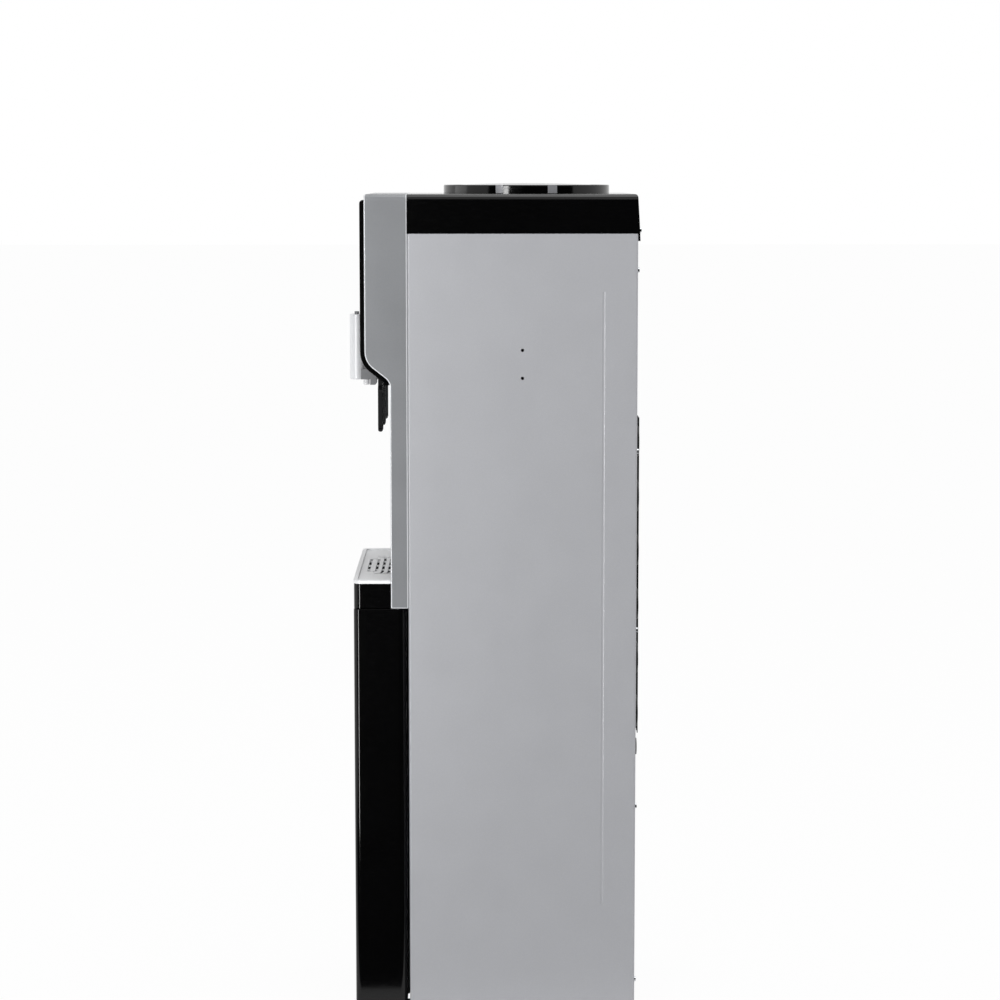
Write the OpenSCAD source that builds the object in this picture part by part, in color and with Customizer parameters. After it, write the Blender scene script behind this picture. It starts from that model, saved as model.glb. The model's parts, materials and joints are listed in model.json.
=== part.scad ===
// Floor standing bottom load water cooler: three taps over a drip tray, a bottle cabinet
// below with a deep hinged door, and a round collar with a lid on the top cover.
// +Z up, the front faces -Y, and the origin is on the floor under the middle of the body.

/* [Body] */
// Width over the side panels
body_w = 300; // [290:2:320]
// Distance from the origin forward to the side panels' front edge
panel_front = 107; // [100:1:112]
// Depth of a side panel
panel_d = 282; // [276:1:300]
// Thickness of the sheet metal
sheet_t = 1; // [0.8:0.1:1.4]
// Width of the side panels' folded edges
flange_w = 9; // [7:1:9]
// Outer radius of the side panels' vertical bends
bend_out_r = 2.5; // [1.5:0.5:4]
// Height of the side panels' top edge above the floor
panel_top = 994; // [985:1:1010]
// Distance from the side panels' rear edge to the pressed crease
crease_inset = 41.6; // [30:1:60]
// Depth of the pressed crease
crease_depth = 0.5; // [0.3:0.1:0.6]
// Diameter of the two small holes in each side panel
side_hole_d = 4; // [3:0.5:6]

/* [Top] */
// Height of the top cover above the side panels
cover_h = 48; // [44:1:56]
// Wall of the top cover and the other mouldings
shell_t = 2.5; // [2:0.25:3.5]
// Edge radius of the top cover
cover_r = 8; // [4:1:10]
// How far the rear edge of the cover hangs below the side panels' top
lip_drop = 9; // [5:1:14]
// Outer radius of the round collar
collar_r = 105; // [95:1:110]
// Wall of the collar
collar_t = 7; // [5:0.5:9]
// Height of the collar above the cover
collar_h = 11; // [8:1:14]
// Distance from the origin back to the collar's centre
collar_y = 41; // [35:1:46]
// Rise of the domed lid over the collar's rim
lid_rise = 2; // [1:0.5:3]
// Gap all round the lid
lid_gap = 0.4; // [0.3:0.1:0.8]

/* [Front] */
// How far the upper front frame stands in front of the side panels
frame_proud = 52.5; // [48:0.5:58]
// How far the lower frame strips stand in front of the side panels
strip_proud = 21.6; // [18:0.2:25]
// Thickness of a frame cheek across the machine
cheek_t = 9; // [7:1:12]
// Thickness of the black front panel
glass_t = 5.5; // [4:0.5:7]
// Height of the point where the front starts to curve back
curve_top = 850.5; // [840:0.5:865]
// Radius of the outward bend of the front frame
bend_r = 26.5; // [22:0.5:30]
// Radius of the inward bend of the front frame
sweep_r = 14.8; // [10:0.2:18]
// Angle of the slanted run from the vertical
sweep_angle = 52; // [46:1:56]
// Drop of the black panel's top edge below the cover's top
glass_drop = 7; // [5:1:12]

/* [Taps] */
// Distance between neighbouring taps
tap_pitch = 93; // [80:1:96]
// Diameter of a tap's barrel
tap_d = 17.5; // [15:0.5:19]
// Length of a tap's barrel
tap_h = 81; // [70:1:90]
// Length of the two taps' barrels that have no lock
short_tap_h = 69; // [60:1:72]
// Diameter of the hot tap's lock button
lock_d = 5.8; // [5:0.2:7]
// Height of the lock button above its barrel
lock_h = 3.3; // [2.4:0.1:4]
// Height of the barrel's lower end above the floor
tap_z = 813; // [808:1:818]
// Width of a tap's bracket
bracket_w = 16; // [14:1:20]
// Diameter of the pouring nozzle
nozzle_d = 7.6; // [6:0.2:9]
// Width of the lever's paddle
lever_w = 26; // [20:1:34]
// Depth of the lever front to back
lever_d = 5.8; // [5:0.2:7]
// Length of the lever below its pin
lever_l = 85; // [70:1:95]
// Diameter of the lever's pin
pin_d = 3; // [2.5:0.5:4]
// Running clearance of pins in their bores, on the radius
run_fit = 0.05; // [0.02:0.01:0.1]

/* [Drip tray] */
// How far the tray and the door stand in from the side panels' faces
side_relief = 1; // [0.5:0.5:2]
// How far the tray stands in front of the side panels
tray_proud = 68.2; // [60:0.2:74]
// Height of the tray's top above the floor
tray_top = 567.5; // [560:0.5:575]
// Thickness of the tray's slotted cover
tray_t = 4; // [3:0.5:5]
// Depth of the sunken field of the tray cover
tray_sink = 1.8; // [1:0.2:2.5]
// Width of a drain slot
slot_w = 3.4; // [2.6:0.2:4]
// Distance between neighbouring drain slots
slot_pitch = 8; // [6:0.5:9]
// Corner radius of the tray's front
tray_r = 9; // [6:1:14]
// Height of the frame's bottom rail
rail_h = 13; // [11:0.5:16]
// Gap between the door's top edge and the frame's bottom rail
rail_gap = 1.1; // [0.8:0.1:2]
// Depth of the dispensing niche behind the side panels' front edge
niche_d = 36; // [30:1:42]

/* [Door] */
// Height of the door's top edge above the floor
door_top = 531.4; // [520:0.5:535]
// Height of the door's bottom edge above the floor
door_bottom = 32; // [30:1:40]
// Depth of the door front to back
door_d = 65; // [56:1:68]
// Gap between the door and the side panels
door_gap = 3; // [2.5:0.5:5]
// Wall of the door shell
door_wall = 3; // [2.5:0.5:4]
// Radius of the door's front edges
door_r = 7; // [4:1:10]
// Distance from the door's side to its hinge axis
hinge_inset = 9.5; // [8:0.5:12]
// Diameter of the hinge pins
hinge_pin_d = 6; // [5:0.5:8]

/* [Inside] */
// Height of the feet
foot_h = 20; // [16:1:28]
// Diameter of a foot
foot_d = 32; // [26:1:40]
// Height of the base pan's walls
base_h = 28; // [22:1:34]
// Diameter of the cold tank
cold_d = 140; // [120:2:150]
// Height of the cold tank
cold_h = 170; // [150:2:180]
// Thickness of the cold tank's foam
foam_t = 18; // [12:1:22]
// Diameter of the hot tank
hot_d = 100; // [90:2:106]
// Height of the hot tank
hot_h = 150; // [130:2:160]
// Diameter of the compressor
comp_d = 106; // [96:2:110]
// Height of the compressor
comp_h = 132; // [120:2:140]
// Diameter of the condenser's tube
cond_d = 4; // [3.6:0.2:4]
// Diameter of the condenser's wires
wire_d = 1.2; // [1:0.1:1.4]
// Number of runs of the condenser's tube
cond_runs = 12; // [8:1:14]
// Distance between the condenser's runs
cond_pitch = 34; // [28:1:36]
// Number of the condenser's wires
wire_count = 16; // [10:1:20]
// Diameter of the drain spigots
drain_d = 16; // [12:1:20]
// Diameter of the bottle probe
probe_d = 22; // [18:1:26]
// Length of the bottle probe below its cap
probe_l = 330; // [300:5:360]

/* [Hidden] */
$fn = 64;
over = 1;
fine = 32;
gap = 0.3;
body_half = body_w / 2;
side_half = body_half - side_relief;
inner_half = body_half - sheet_t;
bend_in_r = bend_out_r - sheet_t;
fit_half = inner_half - bend_in_r;
frame_half = body_half - cheek_t;
panel_rear = panel_d - panel_front;
back_y = panel_rear - sheet_t;
cover_top = panel_top + cover_h;
collar_top = cover_top + collar_h;
frame_y = -panel_front - frame_proud;
strip_y = -panel_front - strip_proud;
glass_y = frame_y - glass_t;
glass_in = 4;
glass_half = body_half - glass_in;
glass_top = cover_top - glass_drop;
tray_y = -panel_front - tray_proud;
niche_back = -panel_front + niche_d;
niche_over = 2;
niche_top = tap_z + niche_over;
rail_z = door_top + rail_gap;
rail_top = rail_z + rail_h;
lid_seat_t = 3;
lid_seat_w = 6;
shelf_z = cover_top + lid_seat_t;
lid_r = collar_r - collar_t - lid_gap;
door_back = -panel_front - door_gap;
door_y = door_back - door_d;
hinge_x = side_half - hinge_inset;
hinge_y = door_back - hinge_inset;
hinge_r = hinge_pin_d / 2;
hinge_reach = 16;
boss_rim = 2.5;
boss_r = hinge_inset - boss_rim;
tap_r = tap_d / 2;
tap_sink = 2.8;
tap_y = glass_y - tap_r + tap_sink;
tap_xs = [-tap_pitch, 0, tap_pitch];
nozzle_back = 11.5;
nozzle_y = tap_y + nozzle_back;
bracket_half = bracket_w / 2;
bracket_reach = 24.5;
bracket_back = tap_y + bracket_reach;
bracket_drop = 6.8;
bracket_low = tap_z - bracket_drop;
lever_room = 1.5;
lever_y = bracket_back + lever_room + lever_d / 2;
lever_back = lever_y + lever_d / 2;
pin_rise = 26.2;
pin_z = bracket_low + pin_rise;
lever_z = pin_z - lever_l;
pin_r = pin_d / 2;
ear_t = 2;
ear_rise = 9;
ear_top = pin_z + ear_rise;
swing_room = 8;
slot_back = lever_back + swing_room;
clevis_reach = 21;
clevis_back = lever_back + clevis_reach;
valve_l = 23;
lens_pitch = 22;
lens_xs = [-lens_pitch, 0, lens_pitch];
lens_drop = 82;
lens_z = cover_top - lens_drop;
lens_r = 2.5;
insert_t = 1.6;
tray_fit = 1;
tongue_half = frame_half - shell_t - tray_fit;
tongue_back = niche_back - tray_fit;
basin_half = tongue_half - 2 * tray_fit;
housing_fit = 0.5;
basin_z = rail_top + shell_t;
pan_t = 1.5;
pan_top = foot_h + base_h;
pan_lip = 8;
foot_inset = 32;
front_foot_inset = 30;
foot_xs = [-1, 1] * (body_half - foot_inset);
foot_ys = [-panel_front + front_foot_inset, panel_rear - foot_inset];
stud_d = 8;
bay_z = foot_h + pan_t;
bay_half = body_half - flange_w - gap;
rear_room = 26;
bay_back = panel_rear - rear_room;
deck_drop = 9;
deck_z = rail_z - deck_drop;
deck_t = 1.5;
deck_rim = 0.5;
deck_top = deck_z + deck_t;
bay_top = deck_z - gap;
cold_r = cold_d / 2;
foam_r = cold_r + foam_t;
tank_drop = 34.5;
foam_z = panel_top - tank_drop - cold_h - 2 * foam_t;
foam_top = foam_z + cold_h + 2 * foam_t;
neck_r = 55;
neck_wall = 4;
neck_rim_t = 3;
hot_x = 82;
hot_y = 105;
hot_r = hot_d / 2;
stand_h = 8;
comp_x = -54;
comp_y = 96;
comp_r = comp_d / 2;
grommet_h = 8;
grommet_r = 8;
grommet_inset = 12;
hose_r = 4.5;
pipe_r = 3;
probe_x = -114;
probe_y = 126;
probe_cap_r = 20;
probe_cap_z = 446;
cond_r = cond_d / 2;
cond_half = 118;
cond_z = 380;
cond_y = tap_r - tap_y - wire_d - cond_r;
switch_pitch = 30;
switch_xs = [-switch_pitch, switch_pitch];
switch_drop = 189;
switch_z = panel_top - switch_drop;
switch_w = 14;
switch_h = 21;
switch_wall = 2.5;
rocker_half = switch_w / 2 - switch_wall;
drain_x = 82;
drain_y = 161;
drain_z = 345;
hot_drain_z = 560;
gland_x = -60;
gland_z = 100;
gland_r = 11;
gland_wall = 3;
cover_lean = 2.4;
cover_top_lean = 0.2;
edge_steps = 13;
panel_steps = 10;

function arc(cy, cz, r, a0, a1, n = 12) =
    [for (i = [0:n]) let (a = a0 + (a1 - a0) * i / n) [cy + r * cos(a), cz + r * sin(a)]];

// The frame's front edge seen from the side, from the top of the bend down, moved out by off
bend_end_y = frame_y + bend_r * (1 - cos(sweep_angle));
bend_end_z = curve_top - bend_r * sin(sweep_angle);
sweep_start_y = strip_y - sweep_r * (1 - cos(sweep_angle));
sweep_start_z = bend_end_z - (sweep_start_y - bend_end_y) / tan(sweep_angle);
sweep_cy = strip_y - sweep_r;
sweep_cz = sweep_start_z - sweep_r * sin(sweep_angle);
function front_edge(off, steps = edge_steps) = concat(
    arc(frame_y + bend_r, curve_top, bend_r + off, 180, 180 + sweep_angle),
    arc(sweep_cy, sweep_cz, sweep_r - off, sweep_angle, sweep_angle * (1 - steps / edge_steps), steps));

// A rectangle with round corners about the middle
module rounded(w, d, r) {
    square([w - 2 * r, d], center = true);
    square([w, d - 2 * r], center = true);
    for (x = [-1, 1], y = [-1, 1])
        translate([x * (w / 2 - r), y * (d / 2 - r)]) circle(r, $fn = fine);
}

// An outline drawn as (y, z), extruded across the machine
module across(w, x = 0) {
    translate([x - w / 2, 0, 0]) rotate([90, 0, 90]) linear_extrude(w) children();
}

// An outline drawn as (x, z), extruded from y0 back by d
module backward(y0, d) {
    translate([0, y0 + d, 0]) rotate([90, 0, 0]) linear_extrude(d) children();
}

// A block between two corners
module block(a, b) {
    translate(a) cube(b - a);
}

// A block that is symmetric about the middle of the machine
module wide(half, y0, y1, z0, z1) {
    block([-half, y0, z0], [half, y1, z1]);
}

// A tube that runs through a list of points with round knees
module run(points, r) {
    for (i = [0:len(points) - 2]) {
        v = points[i + 1] - points[i];
        translate(points[i]) rotate([0, acos(v[2] / norm(v)), atan2(v[1], v[0])])
            cylinder(r = r, h = norm(v), $fn = 24);
        if (i > 0) translate(points[i]) sphere(r, $fn = 24);
    }
}

// The body seen from the front, with its round upper edges
module front_view(inset = 0) {
    half = body_half - inset;
    r = cover_r - min(inset, cover_r / 2);
    top = cover_top - inset;
    translate([-half, 0]) square([2 * half, top - r]);
    translate([-half + r, 0]) square([2 * (half - r), top]);
    for (s = [-1, 1]) translate([s * (half - r), top - r]) circle(r);
}

module side_panel(s) {
    crease_r = 4;
    crease_foot_inset = 137;
    crease_top_inset = 71;
    hole_y = 33.9;
    hole_drop = 142;
    hole_pitch = 34.3;
    crease_y = panel_rear - crease_inset;
    r = bend_out_r;
    x = body_half - r;
    color("#adaeb2") mirror([s < 0 ? 1 : 0, 0, 0]) difference() {
        translate([0, 0, foot_h]) linear_extrude(panel_top - foot_h) polygon(concat(
            [[body_half - flange_w, -panel_front]], arc(x, -panel_front + r, r, -90, 0, 8),
            arc(x, panel_rear - r, r, 0, 90, 8), [[body_half - flange_w, panel_rear],
            [body_half - flange_w, back_y]], arc(x, panel_rear - r, r - sheet_t, 90, 0, 8),
            arc(x, -panel_front + r, r - sheet_t, 0, -90, 8), [[body_half - flange_w, -panel_front + sheet_t]]));
        translate([body_half + crease_r - crease_depth, crease_y, foot_h + crease_foot_inset])
            cylinder(r = crease_r, h = panel_top - crease_top_inset - foot_h - crease_foot_inset);
        for (i = [0, 1]) translate([inner_half - over, hole_y, panel_top - hole_drop - i * hole_pitch])
            rotate([0, 90, 0]) cylinder(d = side_hole_d, h = sheet_t + 2 * over);
    }
}

module back_panel() {
    slot_l = 44;
    slot_h = 4;
    slot_column = 62;
    slot_row = 14;
    low_slots = 40;
    high_slots = 118;
    end_share = 0.475;
    color("#9a9b9e") backward(back_y - sheet_t, sheet_t) difference() {
        translate([-fit_half, pan_top]) square([2 * fit_half, panel_top - sheet_t - pan_top]);
        for (i = [-1.5:1.5], k = [0:5], z = [pan_top + low_slots, panel_top - high_slots])
            translate([i * slot_column, z + k * slot_row]) rounded(slot_l, slot_h, slot_h * end_share);
        for (x = switch_xs) translate([x, switch_z]) square([switch_w, switch_h], center = true);
        translate([drain_x, drain_z]) circle(d = drain_d + 2 * gap);
        translate([gland_x, gland_z]) circle(r = gland_r - gland_wall);
    }
}

module base_pan() {
    color("#2c2d30") difference() {
        wide(fit_half, -panel_front + sheet_t, back_y - sheet_t, foot_h, pan_top);
        wide(fit_half - pan_t, -panel_front + sheet_t + pan_t, back_y - sheet_t - pan_t, bay_z, pan_top + over);
        wide(bay_half + over, -panel_front - over, -panel_front + 2 * pan_t + over, foot_h + pan_lip, pan_top + over);
        for (x = foot_xs, y = foot_ys) translate([x, y, foot_h - over])
            cylinder(d = stud_d + gap, h = pan_t + 2 * over);
    }
}

module levelling_feet() {
    flare_h = foot_h / 2;
    c = 1.5;
    color("#1c1d1f") for (x = foot_xs, y = foot_ys) translate([x, y, 0]) rotate_extrude() polygon([
        [0, 0], [foot_d / 2 - c, 0], [foot_d / 2, c], [foot_d / 2, flare_h / 2], [stud_d, flare_h],
        [stud_d, foot_h], [stud_d / 2, foot_h], [stud_d / 2, bay_z - gap], [0, bay_z - gap]]);
}

// The cover seen from the side, with its leaning rear face
module cover_side(inset) {
    r = 4;
    lean_angle = 5;
    rear_top = panel_rear - cover_top_lean - inset;
    rear_low = panel_rear + cover_lean - inset;
    low = panel_top - over * sign(inset);
    polygon(concat([[-panel_front + inset, low], [-panel_front + inset, cover_top - inset]],
        arc(rear_top - r, cover_top - inset - r, r, 90, lean_angle, 8),
        [[rear_low, low]]));
}

module top_cover() {
    lip_y = panel_rear + gap;
    weld = 0.01;
    color("#0d0d0f") difference() {
        union() {
            intersection() {
                across(body_w) cover_side(0);
                backward(-panel_front - over, panel_d + 10 * over) front_view();
            }
            across(body_w - 2 * shell_t) polygon([[lip_y, panel_top - lip_drop],
                [lip_y + shell_t, panel_top - lip_drop], [panel_rear + cover_lean, panel_top + weld],
                [lip_y - gap - shell_t, panel_top + shell_t], [lip_y, panel_top]]);
        }
        intersection() {
            across(body_w) cover_side(shell_t);
            backward(-panel_front - over, panel_d + 10 * over) front_view(shell_t);
        }
        translate([0, collar_y, cover_top - shell_t - over])
            cylinder(r = collar_r - collar_t - lid_seat_w, h = shell_t + 2 * over);
    }
}

module insert_sectors(r0, r1) {
    foot = 0.8;
    for (m = [0, 1]) translate([0, collar_y, 0]) mirror([m, 0, 0])
        for (a = [[-22.1, 5.2], [13.6, 6.6]])
            rotate([0, 0, a[0]]) rotate_extrude(angle = a[1])
                translate([r0, cover_top + foot]) square([r1 - r0, collar_h - foot]);
}

module top_collar() {
    r = 1.5;
    seat_r = collar_r - collar_t;
    color("#0d0d0f") difference() {
        translate([0, collar_y, 0]) rotate_extrude() union() {
            polygon(concat([[seat_r - lid_seat_w, cover_top], [collar_r, cover_top]],
                arc(collar_r - r, collar_top - r, r, 0, 90, 6),
                [[seat_r + r / 2, collar_top], [seat_r, collar_top - r / 2],
                [seat_r, shelf_z], [seat_r - lid_seat_w, shelf_z]]));
        }
        insert_sectors(collar_r - insert_t, collar_r + over);
    }
}

module collar_inserts() {
    color("#9b9ca1") insert_sectors(collar_r - insert_t, collar_r);
}

module top_lid() {
    rim = 0.8;
    edge_z = collar_top - rim;
    rise = lid_rise + rim;
    dome_r = (lid_r * lid_r + rise * rise) / (2 * rise);
    wall = 2.6;
    span = asin((lid_r - rim) / dome_r);
    color("#101012") translate([0, collar_y, 0]) rotate_extrude() polygon(concat(
        [[0, edge_z + rise - wall]],
        [for (i = [1:6]) let (a = span * i / 7) [dome_r * sin(a), edge_z + rise - dome_r * (1 - cos(a)) - wall]],
        [[lid_r - wall, edge_z - wall], [lid_r - wall, shelf_z], [lid_r, shelf_z], [lid_r, edge_z - rim]],
        [for (i = [12:-1:0]) let (a = span * i / 12) [dome_r * sin(a), edge_z + rise - dome_r * (1 - cos(a))]]));
}

// What the taps' brackets and levers pass through
module tap_openings() {
    front = 13;
    below = 10;
    above = 2;
    for (x = tap_xs) translate([x, 0, 0])
        wide(bracket_half + gap, tap_y + front, slot_back, bracket_low - below, ear_top + above);
}

module front_frame() {
    r = 3;
    wall = shell_t;
    weld = 0.01;
    color("#8b8c90") difference() {
        intersection() {
            across(body_w) polygon(concat(arc(frame_y + r, cover_top - r, r, 90, 180, 6), front_edge(0),
                [[strip_y, rail_z], [-panel_front, rail_z], [-panel_front, cover_top]]));
            backward(frame_y - over, frame_proud + 2 * over) front_view();
        }
        across(2 * frame_half) polygon(concat([[frame_y + wall, cover_top - wall]], front_edge(-wall),
            [[strip_y + wall, sweep_cz], [-panel_front + over, sweep_cz], [-panel_front + over, cover_top - wall]]));
        wide(frame_half, strip_y - over, -panel_front + over, rail_top, sweep_cz + weld);
        tap_openings();
        translate([hinge_x, hinge_y, rail_z - over]) cylinder(r = hinge_r, h = rail_h);
        for (x = lens_xs) translate([x, frame_y - over, lens_z]) rotate([-90, 0, 0])
            cylinder(r = lens_r, h = wall + 2 * over);
    }
}

module front_panel() {
    edge_share = 0.8;
    r = glass_t * edge_share;
    color("#050506") difference() {
        across(2 * glass_half) polygon(concat([[frame_y, glass_top]],
            arc(glass_y + r, glass_top - r, r, 90, 180, 6), front_edge(glass_t, panel_steps),
            [for (p = [len(front_edge(0, panel_steps)) - 1:-1:0]) front_edge(0, panel_steps)[p]]));
        tap_openings();
        for (x = tap_xs) translate([x, tap_y, tap_z - gap])
            cylinder(r = tap_r + gap / 2, h = (x > 0 ? tap_h : short_tap_h) + 2 * gap);
        for (x = lens_xs) translate([x, glass_y - over, lens_z]) rotate([-90, 0, 0])
            cylinder(r = lens_r, h = glass_t + 2 * over);
    }
}

module indicator_lenses() {
    color("#c8d8e8") for (x = lens_xs) translate([x, glass_y - gap, lens_z]) rotate([-90, 0, 0])
        cylinder(r = lens_r, h = glass_t + shell_t + gap);
}

// The space inside the control box
box_half = 60;
box_low = 28;
box_high = 40;
box_deep = 28;
box_wall = 2;

module control_box() {
    front = frame_y + shell_t;
    color("#d8d8d4") difference() {
        wide(box_half + box_wall, front, front + box_deep, lens_z - box_low - box_wall, lens_z + box_high + box_wall);
        wide(box_half, front + shell_t, front + box_deep + over, lens_z - box_low, lens_z + box_high);
    }
}

module circuit_board() {
    board_t = 1.6;
    board_y = frame_y + shell_t + 20;
    color("#1f6b3a") wide(box_half, board_y, board_y + board_t, lens_z - box_low, lens_z + box_high);
}

module niche_liner() {
    half = frame_half;
    front = strip_y + shell_t;
    color("#151517") difference() {
        wide(half, front, niche_back + shell_t, rail_top, niche_top);
        wide(half - shell_t, front - over, niche_back, rail_top + shell_t, niche_top - shell_t);
    }
}

module tray_outline(inset) {
    half = side_half - inset;
    r = tray_r - inset;
    y0 = tray_y + inset;
    translate([-half, y0 + r]) square([2 * half, strip_y - y0 - r]);
    translate([-half + r, y0]) square([2 * (half - r), r + over]);
    for (s = [-1, 1]) translate([s * (half - r), y0 + r]) circle(r);
}

module tray_housing() {
    front = housing_fit;
    color("#08080a") difference() {
        translate([0, 0, rail_z]) linear_extrude(tray_top - tray_t - rail_z) tray_outline(front);
        translate([0, 0, rail_z + shell_t]) linear_extrude(tray_top) tray_outline(front + shell_t);
        wide(side_half - front - shell_t, strip_y - over, strip_y + over, rail_z + shell_t, tray_top);
    }
}

module drip_basin() {
    wall = 2;
    room = 4;
    corner = 10;
    y0 = tray_y + housing_fit + shell_t + room;
    y1 = tongue_back - tray_fit;
    top = tray_top - tray_t;
    color("#1a1a1c") difference() {
        translate([0, (y0 + y1) / 2, basin_z]) linear_extrude(top - basin_z)
            rounded(2 * basin_half, y1 - y0, corner);
        translate([0, (y0 + y1) / 2, basin_z + wall]) linear_extrude(top)
            rounded(2 * (basin_half - wall), y1 - y0 - 2 * wall, corner - wall);
    }
}

// Radius of the oval slot's ends
oval_r = 5;

// A long oval about the slots' centre line
module oval(half, r) {
    square([2 * half, 2 * r], center = true);
    for (s = [-1, 1]) translate([s * half, 0]) circle(r);
}

// The bridges that cut a drain slot in dashes
module bridges(y) {
    bridge_w = 3.2;
    bridge_pitch = 38;
    for (i = [-1, 0, 1]) translate([i * bridge_pitch - bridge_w / 2, y - slot_pitch])
        square([bridge_w, 2 * slot_pitch]);
}

// The oval slot at the front of the drain
module oval_slot() {
    half = 51;
    r = oval_r;
    difference() {
        oval(half, r + slot_w / 2);
        oval(half, r - slot_w / 2);
        bridges(0);
    }
}

// A drain slot at y whose ends curl towards the front
module curled_slot(y) {
    straight = 62;
    r = 16;
    end_share = 0.7;
    difference() {
        union() {
            translate([-straight, y - slot_w / 2]) square([2 * straight, slot_w]);
            for (s = [-1, 1]) translate([s * straight, y - r]) intersection() {
                difference() {
                    circle(r + slot_w / 2);
                    circle(r - slot_w / 2);
                }
                polygon([[0, 0], [0, 2 * r], [s * 2 * r, 2 * r], [s * 2 * r, end_share * r]]);
            }
        }
        bridges(y);
    }
}

module drip_tray_cover() {
    rim = 5;
    slots_inset = 20;
    slots_end = 4;
    slots_y = tray_y + slots_inset;
    rows = floor((tongue_back - rim - slots_end - slots_y - oval_r) / slot_pitch);
    color("#b9bbc0") difference() {
        translate([0, 0, tray_top - tray_t]) linear_extrude(tray_t) union() {
            intersection() {
                tray_outline(0);
                translate([-side_half, tray_y]) square([2 * side_half, strip_y - gap - tray_y]);
            }
            translate([-tongue_half, strip_y - over]) square([2 * tongue_half, tongue_back - strip_y + over]);
        }
        translate([0, 0, tray_top - tray_sink]) linear_extrude(tray_sink + over) union() {
            intersection() {
                tray_outline(rim);
                translate([-side_half, tray_y]) square([2 * side_half, strip_y - gap - rim - tray_y]);
            }
            translate([-tongue_half + rim, strip_y - 2 * rim])
                square([2 * (tongue_half - rim), tongue_back - strip_y + rim]);
        }
        translate([0, slots_y, tray_top - tray_t - over]) linear_extrude(tray_t + 2 * over) {
            oval_slot();
            for (k = [1:rows]) curled_slot(oval_r + k * slot_pitch);
        }
    }
}

// Depth of the lock button's bore
lock_sink = 6;

module tap_barrel(x, h = short_tap_h) {
    c = 1;
    locked = h == tap_h;
    sink_h = lock_sink;
    color("#e6e7ea") translate([x, tap_y, tap_z]) difference() {
        rotate_extrude() polygon([[0, 0], [tap_r - c, 0], [tap_r, c], [tap_r, h - c], [tap_r - c, h], [0, h]]);
        if (locked) translate([0, 0, h - sink_h]) cylinder(d = lock_d + 2 * run_fit, h = sink_h + over);
    }
}

module lock_button() {
    travel = 2.4;
    color("#8c8d91") translate([tap_xs[2], tap_y, tap_z + tap_h - lock_sink + travel])
        cylinder(d = lock_d, h = lock_sink - travel + lock_h);
}

module tap_bracket(x) {
    lobe = 3.3;
    seat_in = 5;
    saddle_h = 13;
    post_in = 13.3;
    skin = 1;
    clevis_drop = 8;
    color("#77787b") translate([x, 0, 0]) difference() {
        union() {
            wide(bracket_half, tap_y + seat_in, bracket_back, tap_z, tap_z + saddle_h);
            wide(bracket_half, nozzle_y + nozzle_d / 2 + skin, bracket_back - lobe, bracket_low, tap_z + over);
            wide(bracket_half, bracket_back - lobe - over, bracket_back, bracket_low + lobe, tap_z + over);
            translate([0, bracket_back - lobe, bracket_low + lobe]) rotate([0, 90, 0])
                cylinder(r = lobe, h = bracket_w, center = true);
            wide(bracket_half, tap_y + post_in, bracket_back, tap_z, ear_top);
            wide(bracket_half, bracket_back - over, clevis_back, pin_z - clevis_drop, ear_top);
        }
        translate([0, tap_y, tap_z - over]) cylinder(r = tap_r, h = tap_h);
        wide(bracket_half - ear_t, bracket_back, slot_back - skin - over, pin_z - clevis_drop - over, ear_top + over);
        translate([0, lever_y, pin_z]) rotate([0, 90, 0])
            cylinder(r = pin_r + run_fit, h = bracket_w + 2 * over, center = true);
    }
}

module tap_nozzle(x) {
    wall = 1.5;
    bore_h = 5;
    color("#f4f4f4") translate([x, nozzle_y, bracket_low]) difference() {
        cylinder(d = nozzle_d, h = tap_z - bracket_low);
        translate([0, 0, -over]) cylinder(d = nozzle_d - 2 * wall, h = bore_h + over);
    }
}

module lever_pins() {
    color("#c9cacc") for (x = tap_xs) translate([x, lever_y, pin_z]) rotate([0, 90, 0])
        cylinder(r = pin_r, h = bracket_w, center = true);
}

module tap_lever(x) {
    neck = bracket_half - ear_t - gap;
    top_r = 4.1;
    plate = 2.4;
    pad_h = 58;
    pad_top = lever_z + pad_h;
    front = lever_y - lever_d / 2;
    corner = 8;
    color("#141416") translate([x, 0, 0]) difference() {
        union() {
            intersection() {
                backward(front, lever_d) union() {
                    translate([-neck, pad_top - corner]) square([2 * neck, pin_z - pad_top + corner]);
                    translate([0, (lever_z + pad_top) / 2]) rounded(lever_w, pad_top - lever_z, corner);
                }
                across(lever_w + over) union() {
                    translate([front, lever_z + lever_d / 2]) square([lever_d, lever_l]);
                    translate([lever_y, lever_z + lever_d / 2]) circle(d = lever_d);
                }
            }
            translate([0, lever_y, pin_z]) rotate([0, 90, 0]) cylinder(r = top_r, h = 2 * neck, center = true);
        }
        backward(front + plate, lever_d) translate([0, (lever_z + pad_top) / 2])
            rounded(lever_w - 2 * plate, pad_top - lever_z - 2 * plate, corner - plate);
        translate([0, lever_y, pin_z]) rotate([0, 90, 0])
            cylinder(r = pin_r + run_fit, h = lever_w, center = true);
    }
}

module tap_valves() {
    neck_r = 7;
    neck_l = 6;
    valve_r = 9;
    color("#e8e4d8") for (x = tap_xs) translate([x, clevis_back, pin_z]) rotate([-90, 0, 0]) {
        cylinder(r = neck_r, h = neck_l);
        translate([0, 0, neck_l - over]) cylinder(r = valve_r, h = valve_l - neck_l + over);
    }
}

module door_outline(inset) {
    half = side_half - inset;
    least_r = 2;
    r = door_r - min(inset, door_r - least_r);
    y0 = door_y + inset;
    union() {
        translate([-half + r, y0]) square([2 * (half - r), r + over]);
        for (s = [-1, 1]) translate([s * (half - r), y0 + r]) circle(r);
        translate([-half, y0 + r]) square([2 * half, hinge_y - y0 - r]);
        translate([-half, hinge_y - over]) square([half + hinge_x, door_back - hinge_y + over]);
        translate([hinge_x, hinge_y]) circle(hinge_inset - inset);
    }
}

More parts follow.
